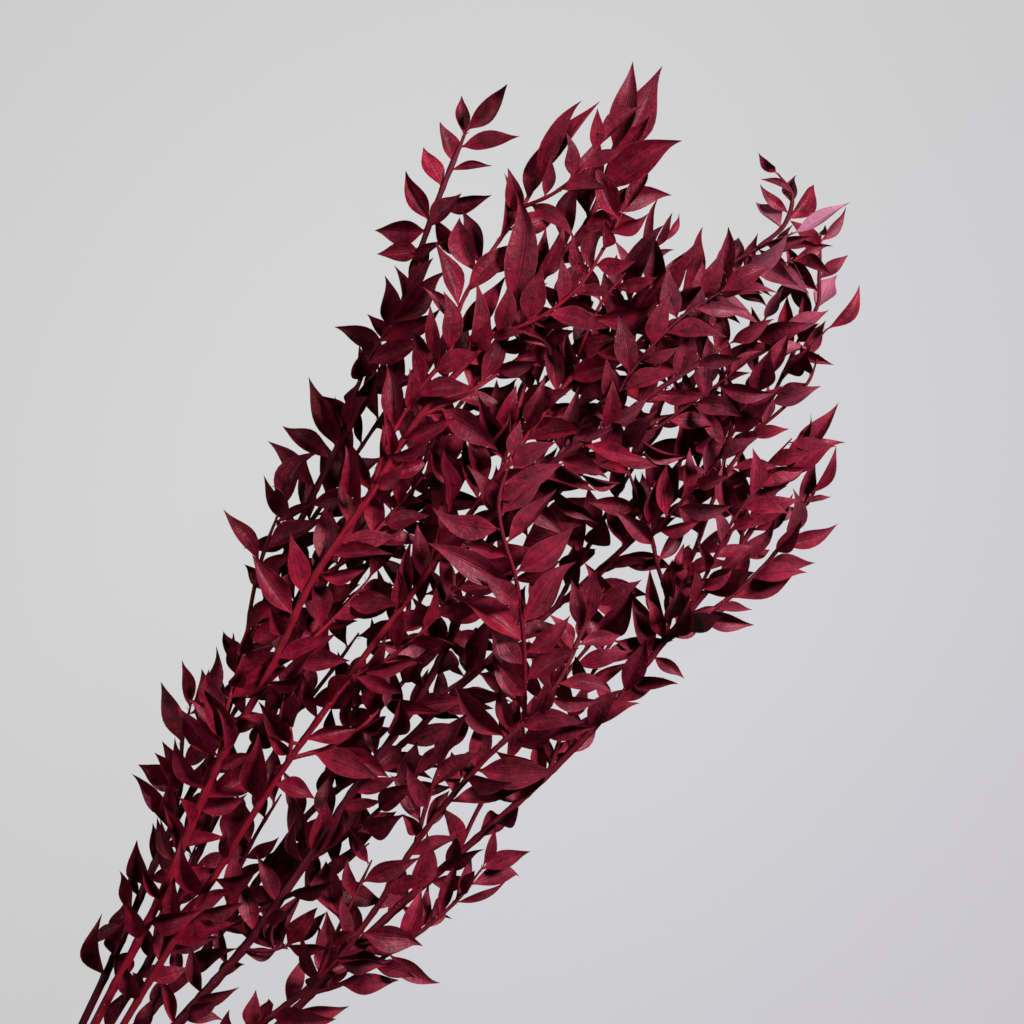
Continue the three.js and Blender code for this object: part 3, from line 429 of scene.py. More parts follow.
def samples_of(leaf):
    """A grid of points that stand for the blade where room is looked for."""
    s, shares = BLADE_SAMPLES
    middle, across, face = rib_at(leaf, s)
    half = 0.5 * leaf["width"] * np.interp(s, *zip(*BLADE_OUTLINE))[:, None] * shares
    points = (middle[:, None] + across[:, None] * half[..., None]
              + face[:, None] * (np.abs(half) * leaf["fold"])[..., None])
    points[..., 2] = np.maximum(points[..., 2], PRESSED)
    return points.reshape(-1, 3)


def occupy(points, stem_number, radius):
    """Notes points of a blade (radius -1), or of wood."""
    rows = np.column_stack([points, np.full(len(points), stem_number), np.full(len(points), radius)])
    keys = np.floor(points / CELL).astype(int)
    for key in {tuple(key) for key in keys}:
        cells.setdefault(key, []).append(rows[(keys == key).all(1)])


def has_room(points, stem_number, room):
    """Whether the blade with these points keeps the room asked for to the blades and wood that are there."""
    margin = room["wood"] + STOUTEST
    low = np.floor((points.min(0) - margin) / CELL).astype(int)
    high = np.floor((points.max(0) + margin) / CELL).astype(int)
    spans = [range(a, b + 1) for a, b in zip(low, high)]
    near = [rows for key in itertools.product(*spans) for rows in cells.get(key, [])]
    if not near:
        return True
    others = np.vstack(near)
    own = others[:, 3] == stem_number
    wood = others[:, 4] >= 0
    needed = np.where(wood, np.where(own, 0, others[:, 4] + room["wood"]),
                      np.where(own, room["own"], room["blade"]))
    apart = ((points[:, None] - others[None, :, :3]) ** 2).sum(2)
    return bool((apart >= needed**2).all())


def walk(shoot, distance):
    """The point at a distance along the shoot's route, and the way that the route runs there."""
    route, lengths = shoot["route"], shoot["lengths"]
    i = min(max(np.searchsorted(lengths, distance), 1), len(route) - 1)
    share = (distance - lengths[i - 1]) / (lengths[i] - lengths[i - 1])
    return route[i - 1] + share * (route[i] - route[i - 1]), unit(route[i] - route[i - 1])


def distance_at(shoot, x):
    """The distance along the shoot where it seems to pass x."""
    seen_x, lengths = shoot["seen_x"], shoot["lengths"]
    i = max(next((k for k, seen in enumerate(seen_x) if seen >= x), 1), 1)
    share = min(1, max(0, (x - seen_x[i - 1]) / (seen_x[i] - seen_x[i - 1])))
    return lengths[i - 1] + share * (lengths[i] - lengths[i - 1])


def form(draw):
    """The draws that give a leaf its own form."""
    return {name: draw(*limits) for name, limits in FORM.items()}


def over_bare_spot(leaf):
    """Whether the leaf's middle or its tip is over one of the bare spots."""
    for place in ((leaf["root"] + leaf["tip"]) / 2, leaf["tip"]):
        spots = true_places([(x, y, place[2]) for x, y, radius in BARE])
        if (np.linalg.norm(spots - place, axis=1) < [radius for x, y, radius in BARE]).any():
            return True
    return False


def as_seen(places):
    """Where such places show on the level that the tables are given on."""
    return EYE[:2] + (places[..., :2] - EYE[:2]) * (EYE[2] - SEEN_HEIGHT) / (EYE[2] - places[..., 2:])


def hides_front_stem(leaf):
    """Whether the leaf lies over a stem that has to stay in sight."""
    blade = leaf["root"] + HIDING_SHARES * (leaf["tip"] - leaf["root"])
    apart = np.linalg.norm(as_seen(blade)[:, None] - as_seen(front_places), axis=2)
    return bool(((apart < HIDING_WIDTH * leaf["width"]) & (blade[:, None, 2] > front_places[:, 2])).any())


def settle(make, changes, stem_number, shoot, distance, room):
    """Tries the leaf that make gives for each change in turn, and keeps the first that has room."""
    for change in changes:
        leaf = make(change)
        points = samples_of(leaf)
        if has_room(points, stem_number, room):
            occupy(points, stem_number, -1)
            leaf["foot"] = curve_at(shoot, np.array([distance]))[0]
            leaf["way"] = walk(shoot, distance)[1]
            STEMS[stem_number]["leaves"].append(leaf)
            shoot["feet"].append(distance)
            return


def place_leaves(stem_number, shoot, placed, seed, room):
    """The leaves of a shoot whose tips are given, each at the first lift over its foot that has room."""
    draw = draws(seed)
    for foot_x, tip_x, tip_y, *width in placed:
        distance = distance_at(shoot, foot_x)
        root = walk(shoot, distance)[0]
        lift = draw(*PLACED_LIFT)
        ratio = draw(*LEAF_RATIO)
        own = form(draw)

        def make(change):
            tip = true_places([tip_x, tip_y, max(root[2] + lift + change, DEEPEST)])
            usual_width = np.linalg.norm(tip - root) * ratio
            return dict(root=root, tip=tip, width=width[0] if width else usual_width, **own)

        settle(make, LIFTS, stem_number, shoot, distance, room)


def grow_leaves(stem_number, shoot, shoot_number, seed, steps, length_range, crowded, taken, room):
    """Leaves of a shoot by rule, left and right in turn, with one in line with the shoot at its end."""
    draw = draws(seed)
    total = shoot["lengths"][-1]
    step = steps[0] if shoot_number == 0 else steps[1]
    distance = distance_at(shoot, FIRST_LEAF) if shoot_number == 0 else step / 2
    turn = 1 if shoot_number % 2 == 0 else -1
    while distance < total + step:
        foot = min(distance, total)
        pitch = draw(*LEAF_PITCH)
        length = draw(*length_range)
        ratio = draw(*LEAF_RATIO)
        angle = draw(*(END_ANGLE if foot == total else LEAF_ANGLE))
        own = form(draw)
        turn = -turn
        if all(abs(other - foot) >= crowded for other in taken):
            root, tangent = walk(shoot, foot)
            side = unit(np.cross(tangent, UP)) * turn

            def make(change):
                reach = (math.cos(angle) * tangent + math.sin(angle) * math.cos(pitch + change) * side
                         + math.sin(angle) * math.sin(pitch + change) * UP)
                tip = root + reach * length
                tip[2] = max(tip[2], DEEPEST)
                return dict(root=root, tip=tip, width=length * ratio, **own)

            allowed = [change for change in PITCHES
                       if not over_bare_spot(make(change)) and not hides_front_stem(make(change))]
            settle(make, allowed, stem_number, shoot, foot, room)
        distance += step * draw(*STEP_CHANGE)


def occupy_wood(stem_number, shoot):
    """Notes the wood of a shoot."""
    distances = np.arange(0, shoot["lengths"][-1] + 1e-9, WOOD_SAMPLES)
    occupy(np.array([walk(shoot, distance)[0] for distance in distances]), stem_number, shoot["radius"][0])


front_places = np.empty((0, 3))  # the large leaves may lie over any stem
for number, stem in enumerate(STEMS):
    stem["leaves"] = []
    for shoot in stem["grown"]:
        occupy_wood(number, shoot)
for number, stem in enumerate(STEMS):
    for k, shoot in enumerate(stem["grown"]):
        place_leaves(number, shoot, shoot.get("placed", []), number * SEEDS_PER_STEM + k, OUTER_ROOM)
for number, stem in enumerate(STEMS):
    for k, shoot in enumerate(stem["grown"]):
        grow_leaves(number, shoot, k, seed=(number + RULE_SEEDS) * SEEDS_PER_STEM + k,
                    steps=(LEAF_STEP_MAIN, LEAF_STEP_SHOOT), length_range=LEAF_LENGTH, crowded=CROWDED,
                    taken=[distance_at(shoot, leaf[0]) for leaf in shoot.get("placed", [])],
                    room=OUTER_ROOM)
for number, stem in enumerate(STEMS):
    small = [dict(route=route, radius=SMALL_RADIUS) for route in SMALL_SHOOTS.get(number + 1, [])]
    set_out(stem, small)
    stem["grown"] += small
    for shoot in small:
        occupy_wood(number, shoot)
for stem_name, k, *leaf in FILL_PLACED:
    place_leaves(stem_name - 1, STEMS[stem_name - 1]["grown"][k], [leaf], sum(leaf), FILL_ROOM)
BARE += FILL_BARE
front_places = np.array([walk(STEMS[name - 1], distance)[0] for name in FRONT_STEMS
                         for distance in FRONT_REACH])
for number, stem in enumerate(STEMS):
    for k, shoot in enumerate(stem["grown"]):
        grow_leaves(number, shoot, k, seed=(number + FILL_SEEDS) * SEEDS_PER_STEM + k,
                    steps=(FILL_STEP_MAIN, FILL_STEP_SHOOT), length_range=FILL_LENGTH,
                    crowded=FILL_CROWDED, taken=list(shoot["feet"]), room=FILL_ROOM)


# ---- Wood ---------------------------------------------------------------------------------------------
# The bark of a stem and its side shoots is one skin, dyed crimson: brightest on the two stems in front,
# darker towards the foot, with fine ridges along it. The other stems' dark bark is partly painted shade.
# The foot is a clean slanting cut through the wood.

RING_STEP = 2.6
MAIN_SIDES = 12
SHOOT_SIDES = 8
RIDGE = 0.035  # how far the bark's ridges stand out, as a share of the radius
NODE_SWELL = 0.18  # the same for the swelling at a leaf's foot
NODE_LENGTH = 2.1
SHOOT_POINT = 0.42  # share of the radius that is left at a shoot's end
POINT_LENGTH = 14
CUT_SLANT = 0.45  # how far the cut leans, as a share of its distance from the middle
STOUTNESS = 0.13  # how much thicker the brightest stems grew past the band,
STOUT_FROM = 120  # from here on,
STOUT_OVER = 100  # fully after this length
# the dullest stems keep the dark bark colour, which is partly painted shade
STEM_VIVIDNESS = (0.06, 0.9, 0.1, 0.8, 0.02, 0.06, 0.25, 0.25)  # how bright a crimson each stem is
YOUNG_FROM = 157.5  # from here on a stem's bark gets lighter,
YOUNG_OVER = 450  # fully after this length
GRAIN_LENGTH = 20  # of bark to one unit of its surface places
# partly painted shade: the dull stems' bark is darkened beyond its dye
BARK_DYE_AND_SHADE = (0.034, 0.0005, 0.0035, 1)
YOUNG_BARK = (0.105, 0.0015, 0.014, 1)
VIVID_BARK = (0.290, 0.002, 0.018, 1)
BARK_STREAK = (0.030, 0.001, 0.004, 1)
FADED_BARK = (0.080, 0.006, 0.014, 1)
CUT_WOOD = (0.42, 0.20, 0.13, 1)
BARK_DUST = (0.45, 0.33, 0.30, 1)


def add_node(tree, kind, inputs=(), **settings):
    """A shader node with its settings, and its inputs given as values or as other nodes' outputs."""
    made = tree.nodes.new(kind)
    for key, value in settings.items():
        setattr(made, key, value)
    for socket, value in dict(inputs).items():
        if isinstance(value, bpy.types.NodeSocket):
            tree.links.new(value, made.inputs[socket])
        else:
            made.inputs[socket].default_value = value
    return made


def mix_colour(tree, factor, a, b):
    return add_node(tree, "ShaderNodeMix", {0: factor, 6: a, 7: b}, data_type="RGBA").outputs[2]


def calculate(tree, operation, a, b=0.0):
    return add_node(tree, "ShaderNodeMath", {0: a, 1: b}, operation=operation).outputs[0]


def layered(tree, colour, layers):
    """The colour with others laid over it in turn, each where its mask says and at most by its share."""
    for mask, share, over in layers:
        factor = mask if share == 1 else calculate(tree, "MULTIPLY", mask, share)
        colour = mix_colour(tree, factor, colour, over)
    return colour


def remap(tree, value, low, high, to_low=0.0, to_high=1.0):
    """The value as it runs from low to high, turned into one that runs from to_low to to_high."""
    made = add_node(tree, "ShaderNodeMapRange", {"Value": value, "From Min": low, "From Max": high,
                                                 "To Min": to_low, "To Max": to_high})
    return made.outputs["Result"]


def noise(tree, vector, scale, detail=2.0, roughness=0.5):
    made = add_node(tree, "ShaderNodeTexNoise",
                    {"Vector": vector, "Scale": scale, "Detail": detail, "Roughness": roughness})
    return made.outputs["Fac"]


def attribute(tree, name):
    return add_node(tree, "ShaderNodeAttribute", attribute_name=name).outputs["Fac"]


def new_group(name, inputs, outputs):
    """An empty shader group with float or vector inputs and float outputs; returns it and its two ends."""
    group = bpy.data.node_groups.new(name, "ShaderNodeTree")
    for socket, kind in inputs:
        group.interface.new_socket(socket, in_out="INPUT", socket_type=f"NodeSocket{kind}")
    for socket in outputs:
        group.interface.new_socket(socket, in_out="OUTPUT", socket_type="NodeSocketFloat")
    return group, group.nodes.new("NodeGroupInput").outputs, group.nodes.new("NodeGroupOutput").inputs


def fibre_group():
    """Fine streaks that run lengthwise in dried bark and leaves alike, with slow changes along them."""
    group, given, out = new_group(
        "lengthwise fibres",
        [("Surface", "Vector"), ("Across", "Float"), ("Along", "Float"), ("Shift", "Float")],
        ["Fine", "Broad"])
    place = add_node(group, "ShaderNodeSeparateXYZ", {0: given["Surface"]}).outputs
    across = calculate(group, "MULTIPLY", place["X"], given["Across"])
    along = calculate(group, "MULTIPLY", place["Y"], given["Along"])
    stretched = add_node(group, "ShaderNodeCombineXYZ",
                         {"X": across, "Y": along, "Z": given["Shift"]}).outputs[0]
    group.links.new(remap(group, noise(group, stretched, 1.0), 0.3, 0.7), out["Fine"])
    group.links.new(remap(group, noise(group, stretched, 0.27), 0.3, 0.7), out["Broad"])
    return group


def weathering_group():
    """Uneven fading of the dye, in blotches, and rare specks of dust."""
    group, given, out = new_group(
        "weathering", [("Place", "Vector"), ("Blotch", "Float"), ("Speck", "Float")], ["Faded", "Dust"])
    blotch = noise(group, given["Place"], given["Blotch"], detail=3.0, roughness=0.6)
    group.links.new(remap(group, blotch, 0.35, 0.7), out["Faded"])
    speck = noise(group, given["Place"], given["Speck"], detail=1.0)
    group.links.new(remap(group, speck, 0.76, 0.80), out["Dust"])
    return group


def use_group(tree, group, **inputs):
    return add_node(tree, "ShaderNodeGroup", inputs, node_tree=group).outputs


def new_material(name, **plain):
    """A material with its shader's plain values; returns it, its tree, that shader, and its two places:
    the one on its surface map and the one in the frame."""
    material = bpy.data.materials.new(name)
    material.use_nodes = True
    tree = material.node_tree
    shader = tree.nodes["Principled BSDF"]
    for socket, value in plain.items():
        shader.inputs[socket.replace("_", " ")].default_value = value
    surface = add_node(tree, "ShaderNodeUVMap", uv_map="Blade").outputs[0]
    place = add_node(tree, "ShaderNodeTexCoord").outputs["Object"]
    return material, tree, shader, surface, place


def finish_surface(tree, shader, colour, roughness, height, strength, depth):
    """Gives a shader its colour, its roughness and the fine relief of the surface."""
    relief = add_node(tree, "ShaderNodeBump", {"Height": height, "Strength": strength, "Distance": depth})
    for socket, value in (("Base Color", colour), ("Roughness", roughness), ("Normal", relief.outputs[0])):
        tree.links.new(value, shader.inputs[socket])


FIBRES = fibre_group()
WEATHERING = weathering_group()


def bark_material():
    material, tree, shader, surface, place = new_material("crimson_bark", Specular_IOR_Level=0.15)
    fibres = use_group(tree, FIBRES, Surface=surface, Across=34.0, Along=0.8, Shift=attribute(tree, "tone"))
    worn = use_group(tree, WEATHERING, Place=place, Blotch=70.0, Speck=900.0)
    colour = layered(tree, BARK_DYE_AND_SHADE, [
        (attribute(tree, "young"), 1, YOUNG_BARK),
        (attribute(tree, "vivid"), 1, VIVID_BARK),
        (fibres["Fine"], 0.75, BARK_STREAK),
        (worn["Faded"], 0.45, FADED_BARK),
        (attribute(tree, "cut"), 1, CUT_WOOD),
        (worn["Dust"], 0.5, BARK_DUST),
    ])
    roughness = remap(tree, fibres["Broad"], 0, 1, 0.42, 0.62)
    finish_surface(tree, shader, colour, roughness, fibres["Fine"], strength=0.5, depth=0.0003)
    return material


def slant(points, middle, way):
    """Leans the cut end of a stem, so that the shears' slanting cut shows."""
    return points + way * ((points - middle)[:, 2:3] * CUT_SLANT)


def tube(shoot, sides, stoutness):
    """Rings of points round a shoot's smooth curve, with the distance, middle and way of each ring."""
    total = shoot["lengths"][-1]
    count = int(total / RING_STEP)
    distances = np.linspace(0, total, count + 1)
    middles = curve_at(shoot, distances)
    tangents = unit(np.gradient(middles, axis=0))
    side = unit(np.cross(tangents, UP))
    over = np.cross(side, tangents)
    radius = np.interp(distances, [0, total], shoot["radius"])
    radius *= 1 + stoutness * np.clip((distances - STOUT_FROM) / STOUT_OVER, 0, 1)
    near = np.abs(distances[:, None] - np.array([*shoot["feet"], -np.inf])).min(1)
    radius = radius * (1 + NODE_SWELL * np.exp(-((near / NODE_LENGTH) ** 2)))
    radius *= np.interp(distances, [total - POINT_LENGTH, total], [1, SHOOT_POINT])
    angles = 2 * math.pi * np.arange(sides) / sides - math.pi / 2
    reach = radius[:, None] * (1 + RIDGE * np.cos(angles * sides / 2))
    rings = (middles[:, None] + side[:, None] * (reach * np.cos(angles))[..., None]
             + over[:, None] * (reach * np.sin(angles))[..., None])
    rings[..., 2] = np.maximum(rings[..., 2], PRESSED)
    return rings, distances, middles, tangents


def inset(share, margin):
    """A share of a strip's width, measured inside a margin on both its sides."""
    return margin + (1 - 2 * margin) * share


def wood_parts(stem, vivid):
    """The whole stem's skin and its cut foot, ready for make_piece."""
    points, faces, corners, baked, young, cut = [], [], [], [], [], []
    longest = stem["lengths"][-1]
    rows = len(stem["grown"])
    for row, shoot in enumerate(stem["grown"]):
        sides = MAIN_SIDES if shoot is stem else SHOOT_SIDES
        stoutness = STOUTNESS if shoot is stem and vivid > 0.5 else 0
        rings, distances, middles, tangents = tube(shoot, sides, stoutness)
        if shoot is stem:
            rings[0] = slant(rings[0], middles[0], tangents[0])
        start = len(points)
        points += rings.reshape(-1, 3).tolist()

        def add_face(indices, places, is_cut):
            faces.append(indices)
            corners.extend((u, v / GRAIN_LENGTH) for u, v in places)
            baked.extend((inset(v / longest, 0.01), (row + inset(u, 0.05)) / rows) for u, v in places)
            lighter = (places[0][1] - YOUNG_FROM) / YOUNG_OVER
            young.append(min(1, max(0, lighter)) if shoot is stem else 1.0)
            cut.append(float(is_cut))

        for i in range(len(rings) - 1):
            for k in range(sides):
                a, b = start + i * sides + k, start + i * sides + (k + 1) % sides
                places = [(k / sides, distances[i]), ((k + 1) / sides, distances[i]),
                          ((k + 1) / sides, distances[i + 1]), (k / sides, distances[i + 1])]
                add_face([a, b, b + sides, a + sides], places, False)
        for end, middle in ((0, middles[0]), (len(rings) - 1, middles[-1])):
            hub = len(points)
            points.append(middle.tolist())
            for k in range(sides):
                a, b = start + end * sides + k, start + end * sides + (k + 1) % sides
                places = [(k / sides, distances[end]), (0.5, distances[end]),
                          ((k + 1) / sides, distances[end])]
                add_face([a, hub, b] if end == 0 else [b, hub, a], places, shoot is stem and end == 0)
    return points, faces, corners, baked, dict(young=young, cut=cut, vivid=[vivid] * len(faces))


def make_piece(name, points, faces, corners, baked, face_values, material):
    """A smooth mesh in the frame with its surface map, its bake map and values for each face."""
    mesh = bpy.data.meshes.new(name)
    mesh.from_pydata(metres(points).tolist(), [], faces)
    for map_name, places in (("OFBake", baked), ("Blade", corners)):
        layer = mesh.uv_layers.new(name=map_name)
        layer.uv.foreach_set("vector", np.asarray(places, np.float32).ravel())
    for value_name, values in face_values.items():
        layer = mesh.attributes.new(value_name, "FLOAT", "FACE")
        layer.data.foreach_set("value", np.asarray(values, np.float32))
    mesh.uv_layers["OFBake"].active_render = True
    mesh.shade_smooth()
    mesh.materials.append(material)
    piece = bpy.data.objects.new(name, mesh)
    bpy.context.scene.collection.objects.link(piece)
    return piece


bark = bark_material()
for number, stem in enumerate(STEMS):
    points, faces, corners, baked, values = wood_parts(stem, STEM_VIVIDNESS[number])
    values["tone"] = np.full(len(faces), number * 3.7)
    wood = make_piece(f"leafy_stem_{number + 1}_wood", points, faces, corners, baked, values, bark)
    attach(wood, "root")
    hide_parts(f"leafy_stem_{number + 1}")


# ---- Leaves -------------------------------------------------------------------------------------------
# Each leaf is a thin, stiff dried blade on a short twisted stalk: widest below its middle, drawn out to a
# fine point, folded a little along its midrib and curled as it dried. The dye is deep crimson, rosier at the
# base, and many leaves carry a small dark scar where a flower sat. Lower leaves are painted darker as
# shade, and a painted sheen lightens the veins and the tips of rosy leaves.

LEAF_SEED = 11
LEAF_THICKNESS = [(0, 0.8), (0.1, 0.7), (0.2, 0.42), (1, 0.22)]  # place along the blade, thickness
LENS_POWER = 2.5  # how full the blade stays towards its thin edge
LEAF_STATIONS = np.array([0, 0.04, 0.085, 0.13, 0.19, 0.26, 0.34, 0.43, 0.52, 0.61, 0.7, 0.78, 0.86, 0.93,
                          0.97, 1])
LEAF_SHARES = np.array([-1, -0.68, -0.33, 0, 0.33, 0.68, 1])  # columns of points across the blade
MIDRIB = 3  # the middle one of them
LEAF_WIDTHS = [(0, 0.085), (0.06, 0.085), (0.1, 0.17), (0.16, 0.42), (0.24, 0.7), (0.33, 0.91), (0.42, 1),
               (0.5, 0.985), (0.6, 0.86), (0.7, 0.66), (0.79, 0.43), (0.87, 0.235), (0.94, 0.1), (1, 0)]
PACKED_HEIGHTS = [(PRESSED, PRESSED), (88, 88), (120, 98)]  # the highest leaves were pressed down a little
FLATTEST = PRESSED / 3  # the least height of anything on the leaves

# how the blades dried; most draws are between two ends, POINT_CURL and POINT_BEND give a mean and a spread
FOLD_DRIED = 1.4  # how much further the blades folded
FOLD_ROUNDING = 0.5  # of the fold at the midrib
WAVE = (0.2, 0.7)  # height of the edge's waves
WAVE_START = (0, 6.3)
WAVES = (5, 11)  # radians of them along the blade
SIDE_LAG = 1.3  # from one side's waves to the other's
CURL_START = 0.62  # where the drawn-out point starts to curl
POINT_CURL = (0.03, 0.09)  # out of the blade's face, as a share of its length
POINT_BEND = (0, 0.05)  # the same sideways
ROLLED_SHARE = 0.1  # leaves that dried rolled into half a tube
ROLLED = (0.5, 0.9)  # how far their edges closed, in radians
CLOSED = (0, 0.42)  # the same for the others

# how their colours differ
LEAFY_LENGTH = 640  # from the band to the furthest leaves' feet
LEAFY_HEIGHT = 95
STEM_TONES = (0.12, -0.07, 0.06, 0.04, 0.0, 0.04, 0.02, 0.22)  # how much lighter a stem's leaves are
TONE_REACH = 0.7
TONE_POWER = 1.7  # above 1, so that more leaves are dark than light
OUTER_TONE = 0.04  # how much lighter the outermost leaves are
# painted shade by height: higher leaves are lighter, so the deep ones look shaded
PAINTED_HEIGHT_LIGHT = 0.06  # and the highest ones
INNER_AGE = 0.15  # how much more the innermost leaves have aged
STEM_ROSINESS = (0.15, 0.05, 0.25, 0.15, 0.4, 0.4, 0.6, 0.8)  # how far each stem's dye has turned rosy
ROSY_DRAW = (0.6, 1.2)
OUTER_ROSE = 0.08
VIVID_DRAW = (0.4, 1.2)
VIVID_POWER = 3  # leaves are vivid on the brightest stems only,
OUTER_DULLING = 0.6  # and less so at the tips
PALE_SPREAD = 0.35
PALE_POWER = 10  # only the outermost leaves of rosy stems turn pale
OUTERMOST = 693  # the one high leaf whose point reaches beyond this dried pale,
OUTERMOST_PALE = 0.75  # this far
HIGH_REACH = 5  # what its height adds to its reach

SCARRED_SHARE = 0.28
SCAR_PLACE = (0.28, 0.42)  # along the blade
SCAR_RADIUS = (0.55, 0.9)
SCAR_SIDES = 8
SCAR_RIM = (0.6, 0.34)  # radius, as a share of the scar's, and height of its raised rim
SCAR_MIDDLE = 0.22  # height of its middle
SCAR_DEPTH = 0.05
SCAR_LIFT = 0.1  # of all this over the blade's middle surface
HALO = (12, 34)  # width and length of a usual leaf, which turn its surface places into distances
SCALE_LENGTH = (2.0, 3.4)
SCALE_ALONG = (0.7, 1.1)  # how it leans along the shoot
SCALE_OUT = (0.5, 1.0)  # and out from it
SCALE_FOOT = (1.2, 0.5)  # how far before and beside the leaf's foot it starts
SCALE_BELLY = 0.35  # where it is widest
SCALE_HALF = (0.55, 0.2)  # half its width and thickness there

DYE_TONES = {0: (0.020, 0.0005, 0.004, 1), 0.35: (0.066, 0.0006, 0.006, 1),
             0.75: (0.165, 0.0012, 0.012, 1), 1: (0.370, 0.010, 0.042, 1)}
ROSY_DYE = (0.210, 0.010, 0.034, 1)
VIVID_DYE = (0.240, 0.0006, 0.021, 1)
FADED_DYE = (0.070, 0.008, 0.013, 1)
# a rosier dye towards the tip, partly a painted sheen
ROSY_TIP_AND_SHEEN = (0.330, 0.034, 0.066, 1)
PALE_DYE = (0.440, 0.170, 0.260, 1)
UNDERSIDE = (0.130, 0.010, 0.026, 1)
ROSY_BASE = (0.300, 0.008, 0.030, 1)
DARK_VEIN = (0.026, 0.001, 0.004, 1)
# light veins, partly a painted sheen along the streaks
LIGHT_VEIN_AND_SHEEN = (0.420, 0.045, 0.080, 1)
DRY_EDGE = (0.230, 0.024, 0.038, 1)
DRY_SCALE = (0.320, 0.095, 0.100, 1)
SCAR = (0.012, 0.002, 0.004, 1)
LEAF_DUST = (0.450, 0.330, 0.330, 1)
SATIN_TINT = (1.0, 0.62, 0.68, 1)  # of the leaves' reflections


def leaf_look(leaf, stem_number, rng):
    """How this leaf dried: its edge waves, the curl of its point, and its colour, with painted shade
    darkening the lower leaves.
    """
    closed = ROLLED if rng.random() < ROLLED_SHARE else CLOSED
    outward = min(1, max(0, leaf["foot"][0] / LEAFY_LENGTH))
    upward = min(1, max(0, leaf["tip"][2] / LEAFY_HEIGHT))
    look = dict(wave=rng.uniform(*WAVE), wave_at=rng.uniform(*WAVE_START), waves=rng.uniform(*WAVES),
                curl=rng.normal(*POINT_CURL), bend_over=rng.normal(*POINT_BEND), closed=rng.uniform(*closed))
    # the height term is painted shade: leaves deep in the bunch are darker
    tone = TONE_REACH * rng.random() ** TONE_POWER + OUTER_TONE * outward + PAINTED_HEIGHT_LIGHT * upward
    look["tone"] = max(0, tone + STEM_TONES[stem_number])
    look["age"] = rng.random() ** 2 + INNER_AGE * (1 - outward)
    look["rosy"] = min(1, STEM_ROSINESS[stem_number] * rng.uniform(*ROSY_DRAW) + OUTER_ROSE * outward)
    look["scarred"] = rng.random() < SCARRED_SHARE
    look["scar_at"] = rng.uniform(*SCAR_PLACE)
    look["scar_radius"] = rng.uniform(*SCAR_RADIUS)
    vivid = STEM_VIVIDNESS[stem_number] ** VIVID_POWER * rng.uniform(*VIVID_DRAW)
    look["vivid"] = vivid * (1 - OUTER_DULLING * outward)
    look["pale"] = STEM_ROSINESS[stem_number] * max(0, rng.normal(0, PALE_SPREAD)) * outward**PALE_POWER
    if leaf["tip"][0] + HIGH_REACH * upward > OUTERMOST:
        look["pale"] += OUTERMOST_PALE
    return look


def leaf_surface(leaf, look):
    """The blade's middle surface as rows of points from the stalk to the fine point."""
    s = LEAF_STATIONS
    middle, across, face = rib_at(leaf, s)
    length = np.linalg.norm(leaf["tip"] - leaf["root"])
    middle += (leaf["foot"] - leaf["root"]) * ((1 - s) ** 2)[:, None]
    late = np.clip((s - CURL_START) / (1 - CURL_START), 0, 1)[:, None] ** 2
    middle += (face * look["curl"] + across * look["bend_over"]) * length * late
    half = 0.5 * leaf["width"] * np.interp(s, *zip(*LEAF_WIDTHS))[:, None] * LEAF_SHARES
    closing = look["closed"] * np.abs(LEAF_SHARES)
    fold = FOLD_DRIED * leaf["fold"] * (np.sqrt(half**2 + FOLD_ROUNDING**2) - FOLD_ROUNDING)
    ripple = np.sin(look["waves"] * s[:, None] + look["wave_at"] + SIDE_LAG * np.sign(LEAF_SHARES))
    ripple = ripple * look["wave"] * LEAF_SHARES**2 * np.sin(math.pi * s)[:, None]
    upward = fold + np.abs(half) * np.sin(closing) + ripple
    surface = (middle[:, None] + across[:, None] * (half * np.cos(closing))[..., None]
               + face[:, None] * upward[..., None])
    surface[..., 2] = np.interp(surface[..., 2], *zip(*PACKED_HEIGHTS))
    return surface


def leaf_points(surface):
    """All points of the closed blade round that surface, in the order that leaf_faces counts them."""
    rows = surface[:-1]
    normal = unit(np.cross(np.gradient(surface, axis=1)[:-1], np.gradient(surface, axis=0)[:-1]))
    body = np.interp(LEAF_STATIONS[:-1], *zip(*LEAF_THICKNESS))[:, None] / 2
    lens = (body * (1 - np.abs(LEAF_SHARES) ** LENS_POWER))[..., None]
    upper, lower = rows + normal * lens, (rows - normal * lens)[:, 1:-1]
    points = np.vstack([upper.reshape(-1, 3), lower.reshape(-1, 3), surface[-1, MIDRIB][None]])
    points[:, 2] = np.maximum(points[:, 2], FLATTEST)
    return points, normal


